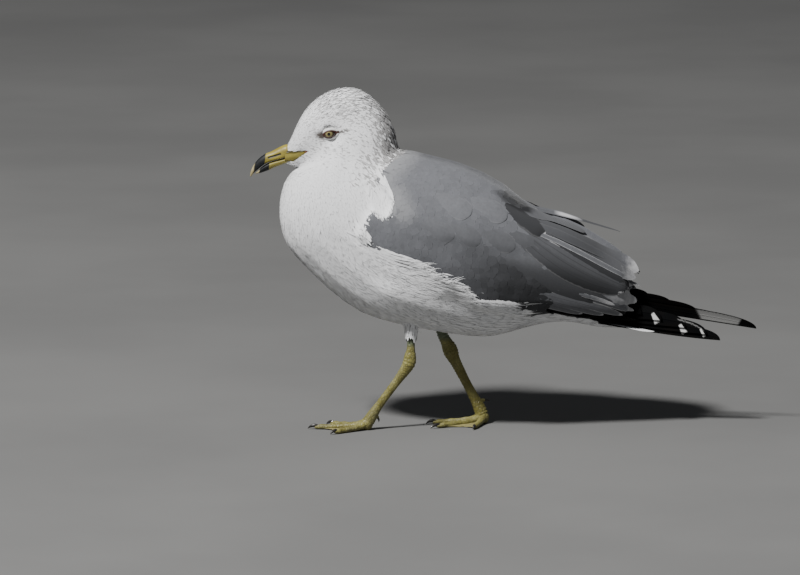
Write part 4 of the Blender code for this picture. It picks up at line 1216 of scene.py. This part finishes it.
# Tips of each wing's primaries, longest first: x, z; then the front end of their lower edge.
PRIMARIES = {
    LEFT: ((184.0, 75.6), (172.5, 81.2), (154.5, 87.0), (134.0, 93.5), (117.0, 99.0)),
    RIGHT: ((215.2, 84.4), (192.0, 91.5), (165.0, 98.5), (143.0, 105.0), (124.0, 110.5)),
}
PRIMARY_EDGE = {LEFT: (80.0, 91.6), RIGHT: (80.0, 106.0)}
PRIMARY_WIDTH = {LEFT: (10.4, 11.5, 12.0, 12.0, 12.0), RIGHT: (9.6, 7.0, 8.0, 8.0, 8.0)}
# White strokes on the near wing: middle x, height, half length, half width; the long way
# runs down and back.
STROKES = ((128.6, 94.5, 4.3, 1.9), (151.8, 85.2, 4.0, 1.8), (169.0, 81.8, 3.4, 0.9))
PRIMARY_RISE, PRIMARY_STACK, PRIMARY_TILT = 1.9, 0.9, 0.32
PRIMARY_Y = ((80.0, 12.6), (95.0, 7.6), (108.0, 3.8), (118.0, 2.2), (216.0, 1.8))
PRIMARY_SHARES = 1.0 - (1.0 - np.linspace(0, 1, 120)) ** 1.5
PRIMARY_COLS = 13
# Frayed pale edge of the near wing, x and height in the side view.
FRAYED = ((147.0, 93.4), (152.0, 92.0), (160.0, 89.3), (167.0, 85.8), (171.0, 83.0))
PRIMARY_BASES = (((26, 103.5), (112, 93.0), 8.0, -0.1, 0.5, 0.0, 0, 0, 0, 0, 0),
                 ((34, 101.0), (108, 89.5), 6.0, -0.3, 0.2, 0.0, 0, 0, 0, 0, 0))


def primary_marks(side, k, x, seen, upper):
    """White marks of the near wing, or the far one's white mirror, which is painted grey for its
    shade.
    """
    white, mirror = np.zeros_like(x), np.zeros_like(x)
    if side > 0:
        mirror = smooth(166.0, 168.5, x + 0.5 * (seen - 95.0)) \
            * smooth(201.0, 198.5, x - 0.5 * (seen - 88.0)) \
            * smooth(0.10, 0.16, upper + 0.6 * (k > 0))
        return white, mirror
    for sx, sz, long, wide in STROKES:
        dx, dz = x - sx, seen - sz
        run, off = 0.48 * dx - 0.88 * dz, 0.88 * dx + 0.48 * dz
        edge = wide * (1 + 0.08 * run)
        white = np.maximum(white, smooth(long + 0.5, long - 0.2, np.abs(run))
                           * smooth(edge + 0.35, edge - 0.25, np.abs(off)))
    off = seen - np.interp(x, *zip(*FRAYED)) + 0.2 * np.sin(x * 1.9)
    fray = 0.32 * smooth(0.60, 0.2, np.abs(off)) * smooth(147, 149, x) * smooth(171, 168, x)
    return np.maximum(white, fray), mirror


def primary_feathers(paint):
    """Long black wing tips, the feathers stacked outwards from the longest."""
    for side in (LEFT, RIGHT):
        layer("primary_bases", side, PRIMARY_BASES, paint, "primaries")
    u, c = PRIMARY_SHARES, np.linspace(-1, 1, PRIMARY_COLS)
    for side in (LEFT, RIGHT):
        grid, soft, white, mirror = [], [], [], []
        for k, (tip, width) in enumerate(zip(PRIMARIES[side], PRIMARY_WIDTH[side])):
            front, low = PRIMARY_EDGE[side]
            root = np.array((front - 0.4 * k, low + PRIMARY_RISE * k))
            length = np.linalg.norm(tip - root)
            along = (tip - root) / length
            across = np.array((-along[1], along[0]))
            high = np.maximum(width * np.sqrt(np.clip(1 - u ** 7, 0, 1)), 0.5)
            v = (c * 0.5 + 0.5) * high[:, None]
            sag = 1.9 * max(1.0 - 0.35 * k, 0.0) * (side < 0)
            place = root + along * (u * length)[:, None] \
                - across * (sag * 4 * u * (1 - u))[:, None]
            x = place[:, None, 0] + across[0] * v
            z = place[:, None, 1] + across[1] * v
            y = np.interp(x, *zip(*PRIMARY_Y)) + PRIMARY_STACK * k + 0.6
            lean = PRIMARY_TILT * (v - width * 0.5) * np.clip((x - 84.0) / 25.0, 0, 1)
            sheet = np.stack([x, side * (y - lean + 0.5 * (1 - c ** 2)), z], -1)
            marks = primary_marks(side, k, x, z - VIEW_SLOPE * y, v / width)
            for rows, item in zip((grid, white, mirror), (sheet, *marks)):
                rows.append(item[:, ::side])                  # the top sheet stays outside
            soft.append(np.broadcast_to(unit(np.array([0.0, side, PRIMARY_TILT])), sheet.shape))
        ob = vanes(f"{WORD[side]}_primary_vanes", np.stack(grid), np.stack(soft), u,
                   {"white_tip": np.stack(white), "mirror": np.stack(mirror),
                    "brown": np.full(len(grid), 1.0 if side > 0 else 0.1)}, None, 0.5, 0.5)
        finish_piece(ob, paint, "primaries", f"{WORD[side]}_primaries")


TAIL_COUNT = 12
TAIL_ROOT, TAIL_TIP_X, TAIL_DROP = (78.0, 92.3), 129.5, math.radians(12.0)


def tail_feathers(paint):
    """Closed fan of twelve white tail feathers, the middle pair on top."""
    drop = np.array([[math.cos(TAIL_DROP), 0, math.sin(TAIL_DROP)], [0, 1, 0],
                     [-math.sin(TAIL_DROP), 0, math.cos(TAIL_DROP)]])
    length = (TAIL_TIP_X - TAIL_ROOT[0]) / math.cos(TAIL_DROP)
    c = np.linspace(-1, 1, 7)
    middle = (TAIL_COUNT - 1) / 2
    grid = []
    for k in range(TAIL_COUNT):
        share = (k - middle) / middle
        turn = math.radians(9.0) * share
        reach = length - 8.0 * share ** 2 - 0.6
        u = BIG_SHARES[:, None]
        half = (np.array(BIG_OUTLINE) * 5.6)[:, None]
        run, off = reach * u, half * c
        x = run * math.cos(turn) - off * math.sin(turn)
        y = 3.6 * share + run * math.sin(turn) + off * math.cos(turn)
        z = 1.7 - 0.3 * abs(share) ** 1.5 * (0.4 + 0.6 * u) + 0.25 * (1 - c ** 2) \
            - 0.03 * abs(k - middle)
        sheet = np.stack([x, y, z], -1) @ drop.T + np.array([TAIL_ROOT[0], 0, TAIL_ROOT[1]])
        grid.append(sheet[:, ::-1])
    grid = np.stack(grid)
    soft = np.broadcast_to([0.0, 0.0, 1.0], grid.shape)
    ob = vanes("tail_vanes", grid, soft, BIG_SHARES, {"fleck": np.zeros(TAIL_COUNT)}, None,
               0.35, 0.6)
    finish_piece(ob, paint, "tail", "tail")


# --- bill ----------------------------------------------------------------------------------
# Stations: back x, z; lower x, z; half width; height of the widest place; fullness.
UPPER_BILL = (
    (-180.4, 241.2, -179.4, 234.6, 4.0, 0.30, 2.2), (-184.2, 243.2, -182.6, 233.0, 5.5, 0.25, 2.2),
    (-190.1, 241.0, -188.2, 231.3, 5.2, 0.22, 2.2), (-196.9, 237.4, -195.0, 229.5, 4.6, 0.22, 2.2),
    (-202.6, 235.0, -200.6, 227.6, 4.0, 0.24, 2.1), (-208.0, 230.9, -205.0, 224.8, 3.2, 0.28, 2.0),
    (-212.3, 225.3, -208.8, 221.6, 2.4, 0.34, 2.0), (-214.6, 219.9, -212.3, 218.4, 1.5, 0.42, 2.0),
    (-215.2, 216.2, -214.4, 215.6, 0.5, 0.50, 2.0),
)
LOWER_BILL = (
    (-178.8, 233.4, -178.3, 230.4, 3.6, 0.62, 2.2), (-182.5, 232.4, -182.3, 228.4, 4.7, 0.66, 2.2),
    (-188.1, 230.9, -187.8, 226.3, 4.5, 0.66, 2.2), (-195.0, 229.1, -194.4, 223.8, 4.0, 0.66, 2.2),
    (-200.2, 227.2, -198.8, 221.6, 3.4, 0.64, 2.1), (-204.6, 224.5, -203.4, 219.9, 2.8, 0.60, 2.0),
    (-208.0, 221.2, -207.6, 218.6, 2.0, 0.55, 2.0), (-210.6, 219.0, -210.4, 218.2, 0.8, 0.50, 2.0),
)
NOSTRIL = ((-199.3, 232.4), (-189.6, 235.6))
BILL_COUNT = 88


def section(row, count):
    """One ring from lower to back point, a rounded outline."""
    bx, bz, vx, vz, half, widest, full = row
    back, low = np.array([bx, 0, bz]), np.array([vx, 0, vz])
    axis = (back - low) / np.linalg.norm(back - low)
    centre = low + (back - low) * widest
    up, down = np.linalg.norm(back - centre), np.linalg.norm(centre - low)
    a = 2 * np.pi * np.arange(count) / count
    u = np.sign(np.cos(a)) * np.abs(np.cos(a)) ** (2 / full)
    v = np.sign(np.sin(a)) * np.abs(np.sin(a)) ** (2 / full)
    return centre + axis * (u * np.where(u > 0, up, down))[:, None] \
        + np.array([0, 1, 0]) * (v * half)[:, None]


def tube(rings, tags=None):
    """Closed tube of quads through rings of equal count, its ends drawn together."""
    count = len(rings[0])
    starts, ends = ([ring.mean(0) + (ring - ring.mean(0)) * f for f in (0.66, 0.33)]
                    for ring in (rings[0], rings[-1]))
    stack = [*starts[::-1], *rings, *ends]
    spread = {}
    for key, values in (tags or {}).items():
        values = np.asarray(values, float).reshape(len(rings), count)
        spread[key] = np.concatenate([values[:1], values[:1], values, values[-1:], values[-1:]])
    return np.concatenate(stack), shell(len(stack), count), spread


def joined(name, shapes, keys):
    """One object from several (verts, faces, tags), its faces turned outwards."""
    ob = mesh_object(name, *merged(shapes), tags={key: np.concatenate([
        np.ravel(tags[key]) if key in tags else np.zeros(len(verts))
        for verts, _, tags in shapes]) for key in keys})
    bm = bmesh.new()
    bm.from_mesh(ob.data)
    bmesh.ops.recalc_face_normals(bm, faces=bm.faces)
    bm.to_mesh(ob.data)
    bm.free()
    ob.data.shade_smooth()
    return ob


def gape(side):
    """Bare greenish wedge between the face feathers, back to the red corner of the mouth."""
    rows, cols = 22, 7
    sheet = np.zeros((rows, cols, 3))
    tags = {key: np.zeros((rows, cols)) for key in ("green", "dark", "red")}
    for i in range(rows):
        t = i / (rows - 1)
        x = -185.6 + 19.2 * t
        share = max(min((x + 184.0) / 17.5, 1.0), 0.0)
        high = 238.3 + 1.4 * share
        low = 229.6 + 9.4 * max(min((x + 178.4) / 12.0, 1.0), 0.0)
        for j in range(cols):
            v = j / (cols - 1)
            z = low + (high - low) * v
            hit = TREE.ray_cast(Vector((x, side * 60.0, z)), Vector((0, -side, 0)))
            y = max(abs(hit[0].y) if hit[0] else 4.6,
                    np.interp(x, (-185.6, -184.0, -182.0, -177.0), (4.2, 5.0, 5.15, 3.0)))
            bulge = 0.75 * math.sin(math.pi * min(v * 1.05, 1.0)) + 0.2
            sheet[i, j] = (x, side * (y + 0.15 + bulge * (1 - 0.5 * t)), z)
            tags["green"][i, j] = 0.65 + 0.2 * t
            tags["dark"][i, j] = smooth(0.70, 0.90, v) * (1 - 0.3 * t)
            tags["red"][i, j] = smooth(0.84, 0.96, t)
    sheet = sheet[None, :, ::-side]
    verts = both(sheet, sheet[:, 1:-1, 1:-1] - [0.0, side * 1.6, 0.0])[0]
    tags = {key: both(values[None, :, ::-side]) for key, values in tags.items()}
    tags["reach"] = np.full(len(verts), -9.0)
    return verts, lens_faces(rows, cols), tags


def bill(paint):
    """Both mandibles, the nostril slits pressed in, and the gapes behind them."""
    keys = ("reach", "green", "dark", "red")
    rings = np.stack([section(row, BILL_COUNT) for row in spline(UPPER_BILL, 10)])
    x, y, z = rings[..., 0], rings[..., 1], rings[..., 2]
    away = segment_distance(x, z, *NOSTRIL)
    wide = np.abs(y) > 1.5
    dent = np.exp(-(away / 0.75) ** 2) * wide
    rings[..., 1] -= np.sign(y) * dent * 0.45
    green = np.maximum(smooth(233.0, 229.5, z + 0.30 * (x + 190)) * 0.35,
                       smooth(-192.0, -185.0, x) * smooth(240.5, 237.0, z) * 0.6)
    # the nostril slits are painted black for the shade inside them
    upper = tube(rings, {"reach": -(x + 201.6) - 0.14 * (236.0 - z), "green": green,
                         "dark": smooth(1.0, 0.65, away) * wide})
    finish_piece(joined("upper_mandible", [upper], keys), paint, "bill", "upper_bill")
    rings = np.stack([section(row, BILL_COUNT) for row in spline(LOWER_BILL, 10)])
    x = rings[..., 0]
    lower = tube(rings, {"reach": -(x + 199.0), "green": np.full(x.shape, 0.75)})
    ob = joined("lower_mandible", [lower, gape(LEFT), gape(RIGHT)], keys)
    finish_piece(ob, paint, "bill", "lower_bill")


# --- eyes ----------------------------------------------------------------------------------
# Section of the lids from the opening outwards: distance, radius about the eye's centre,
# place in the colour band, least depth.
LID_PROFILE = ((0.0, 5.6, 0.0, 1.0), (0.05, 6.05, 0.08, 1.0), (0.25, 6.30, 0.18, 1.0),
               (0.55, 6.48, 0.35, 1.0), (0.85, 6.46, 0.50, 3.3), (1.15, 6.40, 0.60, 3.3),
               (1.6, 6.45, 0.72, 3.3), (2.4, 6.45, 0.85, 3.3), (3.2, 6.3, 1.0, 3.1),
               (3.0, 4.6, 1.0, 1.0), (1.5, 4.9, 0.5, 1.0), (0.2, 5.2, 0.0, 1.0))
LID_STEPS = 72


def eyeball(side, centre, axes, paint):
    """Ball with a raised cornea, its rings closer together in front."""
    out, front, up = axes
    around = 2 * np.pi * np.arange(48) / 48
    spokes = front * np.cos(around)[:, None] + up * np.sin(around)[:, None]
    rings, gaze = [], []
    for a in np.radians(np.concatenate([np.linspace(2.5, 60, 34), np.linspace(66, 176, 14)])):
        r = EYE_RADIUS + 0.22 * math.exp(-(math.sin(a) * EYE_RADIUS / 3.2) ** 2) \
            * (math.cos(a) > 0)
        rings.append(centre + out * (r * math.cos(a)) + spokes * (r * math.sin(a)))
        gaze.append(np.full(48, EYE_RADIUS * a))
    ob = joined(f"{WORD[side]}_eyeball", [tube(rings, {"gaze": gaze})], ("gaze",))
    finish_piece(ob, paint, "eye", f"{WORD[side]}_eye")


def eyelids(side, centre, axes, paint):
    """A soft ring round the almond opening, its red edge on the eyeball."""
    _, front, up = axes
    tilt, lean = math.cos(EYE_TILT), math.sin(EYE_TILT)
    rows, band = [], []
    for k in range(LID_STEPS):
        a = 2 * math.pi * k / LID_STEPS
        ca, sa = math.cos(a), math.sin(a)
        lid = 1.7 if sa > 0 else 1.85
        p0 = LID_A * math.copysign(abs(ca) ** (2 / lid), ca)
        q0 = (LID_B * (0.92 if sa > 0 else 1.0)) * math.copysign(abs(sa) ** (2 / lid), sa)
        d = np.array([ca * 1.15, sa])
        d /= np.linalg.norm(d)
        corner = 1.0 + 0.55 * abs(ca) ** 6
        for grow, radius, _, least in LID_PROFILE:
            p, q = p0 + d[0] * grow * corner, q0 + d[1] * grow
            # +p points to the bill; the rear corner lies higher
            pp, qq = p * tilt + q * lean, q * tilt - p * lean
            depth = math.sqrt(max(radius ** 2 - pp ** 2 - qq ** 2, least ** 2))
            rows.append(centre + front * pp + up * qq + np.array([0, side, 0]) * depth)
        corner = smooth(0.93, 0.99, -ca)                  # dark skin behind the rear corner
        band.append([t + (min(t, 0.52) - t) * corner for _, _, t, _ in LID_PROFILE])
    faces = ring_quads(np.arange(len(rows)).reshape(LID_STEPS, -1), True)
    ob = joined(f"{WORD[side]}_eyelids", [(np.array(rows), faces, {"band": band})], ("band",))
    finish_piece(ob, paint, "eye")


def eyes(wet, ring_paint):
    for side in (LEFT, RIGHT):
        centre = np.array([EYE[0], side * EYE[1], EYE[2]])
        out, up = unit(np.array([-0.10, side, 0.0])), np.array([0.0, 0.0, 1.0])
        axes = out, unit(np.cross(up, out) * side), up
        eyeball(side, centre, axes, wet)
        eyelids(side, centre, axes, ring_paint)


# --- legs and feet ---------------------------------------------------------------------------
# x, y, z of the path from the feathered shank to the toe joint; half depth, half width.
LEG_PATH = {
    LEFT: ((-78.6, -15.6, 84.0, 2.8, 2.5), (-78.8, -15.6, 78.6, 3.1, 2.6),
           (-79.0, -15.4, 70.0, 3.5, 2.8), (-79.6, -15.2, 64.0, 5.0, 3.7),
           (-80.6, -15.0, 58.0, 5.4, 4.0), (-83.8, -14.8, 52.0, 4.6, 3.4),
           (-91.0, -14.6, 42.0, 3.6, 2.6), (-99.0, -14.2, 31.0, 3.4, 2.5),
           (-106.6, -13.8, 20.6, 3.6, 2.8), (-111.6, -13.4, 13.0, 4.6, 3.7),
           (-114.8, -13.1, 7.6, 5.0, 4.2)),
    RIGHT: ((-54.0, 17.4, 84.0, 4.2, 3.8), (-52.6, 17.4, 79.0, 4.4, 3.9),
            (-51.0, 17.4, 75.0, 4.5, 4.0), (-48.6, 17.4, 70.5, 5.0, 4.0),
            (-46.4, 17.2, 66.0, 6.2, 4.3), (-44.4, 17.2, 61.0, 6.2, 4.3),
            (-41.6, 17.2, 55.0, 4.8, 3.6), (-37.0, 17.4, 46.0, 4.2, 2.9),
            (-31.4, 17.6, 35.0, 3.8, 2.6), (-25.6, 17.8, 24.0, 4.1, 3.1),
            (-20.8, 18.0, 14.5, 5.2, 4.0), (-18.4, 18.0, 8.2, 5.6, 4.6)),
}
TOE_JOINT = {LEFT: (-116.4, -13.0, 5.0), RIGHT: (-17.2, 18.0, 5.2)}
TOE_TIPS = {
    LEFT: ((-151.0, 10.0), (-166.6, -10.0), (-147.0, -38.0)),
    RIGHT: ((-26.0, -16.0), (-62.0, -10.0), (-66.0, 12.0)),
}
# A toe with its swollen joints and its claw: share of the way to the tip, height, radius.
TOE = ((0.08, 4.9, 4.1), (0.16, 4.0, 3.5), (0.24, 3.4, 3.0), (0.32, 3.1, 3.0), (0.38, 2.8, 2.6),
       (0.48, 2.6, 2.5), (0.55, 2.6, 2.7), (0.62, 2.4, 2.3), (0.70, 2.3, 2.2), (0.76, 2.4, 2.4),
       (0.82, 2.1, 2.0), (0.88, 2.1, 1.35))
CLAW = ((0.82, 2.6, 1.2), (0.87, 3.2, 1.55), (0.92, 3.0, 1.3), (0.96, 2.2, 0.9),
        (0.985, 1.3, 0.5), (1.0, 0.4, 0.14))
# The pad under the toe joint: height, radius.
BALL = ((10.5, 1.8), (9.2, 3.9), (7.4, 5.0), (5.4, 5.4), (3.4, 5.0), (1.6, 4.1), (0.3, 2.8))
HALLUX = {LEFT: ((-111.4, -13.4, 13.4, 2.0, 1.9), (-108.4, -12.8, 12.0, 1.7, 1.6),
                 (-106.9, -12.4, 10.2, 1.3, 1.2)),
          RIGHT: ((-22.4, 18.0, 18.6, 2.0, 1.9), (-18.4, 18.6, 19.8, 1.7, 1.6),
                  (-15.6, 19.0, 20.2, 1.3, 1.2))}
HIND_CLAW = {LEFT: ((-107.3, -12.5, 10.6, 1.0, 0.9), (-106.3, -12.3, 9.0, 0.85, 0.8),
                    (-106.0, -12.2, 7.6, 0.5, 0.5), (-106.4, -12.2, 6.6, 0.15, 0.15)),
             RIGHT: ((-16.4, 19.0, 20.3, 1.0, 0.9), (-13.8, 19.1, 20.2, 0.85, 0.8),
                     (-12.0, 19.2, 19.5, 0.5, 0.5), (-11.0, 19.2, 18.8, 0.15, 0.15))}


def path_rings(path, count, level=False, shape=None):
    """Rings round a path of (x, y, z, half depth, half width)."""
    path = np.array(path, float)
    points = path[:, :3]
    along = unit(np.gradient(points, axis=0))
    if level:
        side = unit(np.cross(along, np.array([0, 0, 1.0])))
    else:
        side = unit(np.array([0, 1.0, 0]) - along * along[:, 1:2])
    deep = np.cross(along, side)
    a = 2 * np.pi * np.arange(count) / count
    swell = np.ones((len(path), count)) if shape is None else shape(path, a)
    return points[:, None] + (deep[:, None] * (path[:, 3, None] * np.cos(a) * swell)[..., None]
                              + side[:, None] * (path[:, 4, None] * np.sin(a) * swell)[..., None])


def tarsus_shape(path, a):
    """Overlapping scutes down the front, two tendon ridges behind."""
    run = np.concatenate([[0], np.cumsum(np.linalg.norm(np.diff(path[:, :3], axis=0), axis=1))])
    front = np.clip(-np.cos(a), 0, 1) ** 0.7
    saw = (run / 2.3) % 1.0
    ridge = 0.035 * np.cos(3 * a)
    knob = smooth(3.2, 4.6, path[:, 3])                   # wrinkles where the joint bends
    crease = 0.045 * np.sin(run * 2.6)[:, None] * np.cos(a[None] + 0.7 * np.sin(run)[:, None])
    return 1.0 + 0.10 * front[None] * (saw[:, None] - 0.5) + ridge[None] \
        + 0.02 * np.sin(run * 1.9)[:, None] + crease * knob[:, None]


def toe_tube(joint, tip, rows, flat, count, floor):
    """Toe or claw: rows of share of the way to the tip, height and radius."""
    dx, dy = tip[0] - joint[0], tip[1] - joint[1]
    path = [(joint[0] + dx * s, joint[1] + dy * s, z, r * flat[0], r * flat[1])
            for s, z, r in rows]
    rings = path_rings(spline(path, 5), count, True)
    rings[..., 2] = np.maximum(rings[..., 2], floor)
    return tube(rings)


def web_sheet(start, a, b):
    """Thin web between two toes, wrinkled, its front edge drawn in."""
    rows, cols = 26, 17
    sheet = np.zeros((rows, cols, 3))
    for i in range(rows):
        s = i / (rows - 1)
        for j in range(cols):
            t = j / (cols - 1)
            reach = 0.80 - 0.62 * t * (1 - t)
            p = np.array(a) * (1 - t) + np.array(b) * t
            run = 0.03 + (reach - 0.03) * s
            x, y = start[0] + p[0] * run, start[1] + p[1] * run
            sag = math.sin(math.pi * t)
            fold = 0.22 * math.sin(22 * t + 3 * s) * sag * s \
                + 0.10 * math.sin(31 * s + 9 * t) * sag
            z = 2.6 * (1 - s) ** 2 * (1 - 0.3 * sag) + 1.75 - 0.75 * sag * s + fold
            sheet[i, j] = (x, y, z)
    if np.cross(sheet[-1, 0] - sheet[0, 0], sheet[-1, -1] - sheet[0, 0])[2] > 0:
        sheet = sheet[:, ::-1]
    inner = sheet[None, 1:-1, 1:-1].copy()
    inner[..., 2] = np.maximum(inner[..., 2] - 0.75, 0.15)
    verts = both(sheet[None], inner)[0]
    return verts, lens_faces(rows, cols), {"web": np.ones(len(verts))}


def legs(skin, horn):
    """Bare shanks, webbed feet and claws."""
    keys = ("web", "green")
    for side in (LEFT, RIGHT):
        word, joint = WORD[side], TOE_JOINT[side]
        rings = path_rings(spline(LEG_PATH[side], 9), 28, shape=tarsus_shape)
        # the tag green marks the tops of the tarsi for their painted shade
        green = smooth(70.0, 76.0, rings[..., 2])
        hind = path_rings(spline(HALLUX[side], 6), 14)
        ob = joined(f"{word}_tarsus", [tube(rings, {"green": green}), tube(hind)], keys)
        finish_piece(ob, skin, "leg", f"{word}_leg")
        toe = ((0.0, joint[2], 4.4), *TOE)
        foot = [toe_tube(joint, tip, toe, (0.92, 0.95), 20, 0.0) for tip in TOE_TIPS[side]]
        reach = [(tip[0] - joint[0], tip[1] - joint[1]) for tip in TOE_TIPS[side]]
        foot += [web_sheet(joint, a, b) for a, b in zip(reach, reach[1:])]
        ball = [(joint[0], joint[1], z, r, r) for z, r in BALL]
        foot.append(tube(path_rings(spline(ball, 3), 20)))
        finish_piece(joined(f"{word}_webbed_foot", foot, keys), skin, "foot", f"{word}_foot")
        claws = [tube(path_rings(spline(HIND_CLAW[side], 5), 12))]
        claws += [toe_tube(joint, tip, CLAW, (1.0, 0.8), 14, 0.05) for tip in TOE_TIPS[side]]
        finish_piece(joined(f"{word}_claws", claws, ()), horn, "foot")


def main():
    stage()
    white, grey, vane = plumage_white(), plumage_grey(), vane_grey()
    white_coat(white)
    grey_coat(grey)
    wing_feathers(vane)
    stray_feather(vane)
    edge_locks(white)
    sleeve_locks(white)
    primary_feathers(vane_black())
    tail_feathers(white)
    bill(bill_paint())
    eyes(eye_paint(), lid_paint())
    legs(leg_paint(), claw_paint())


main()
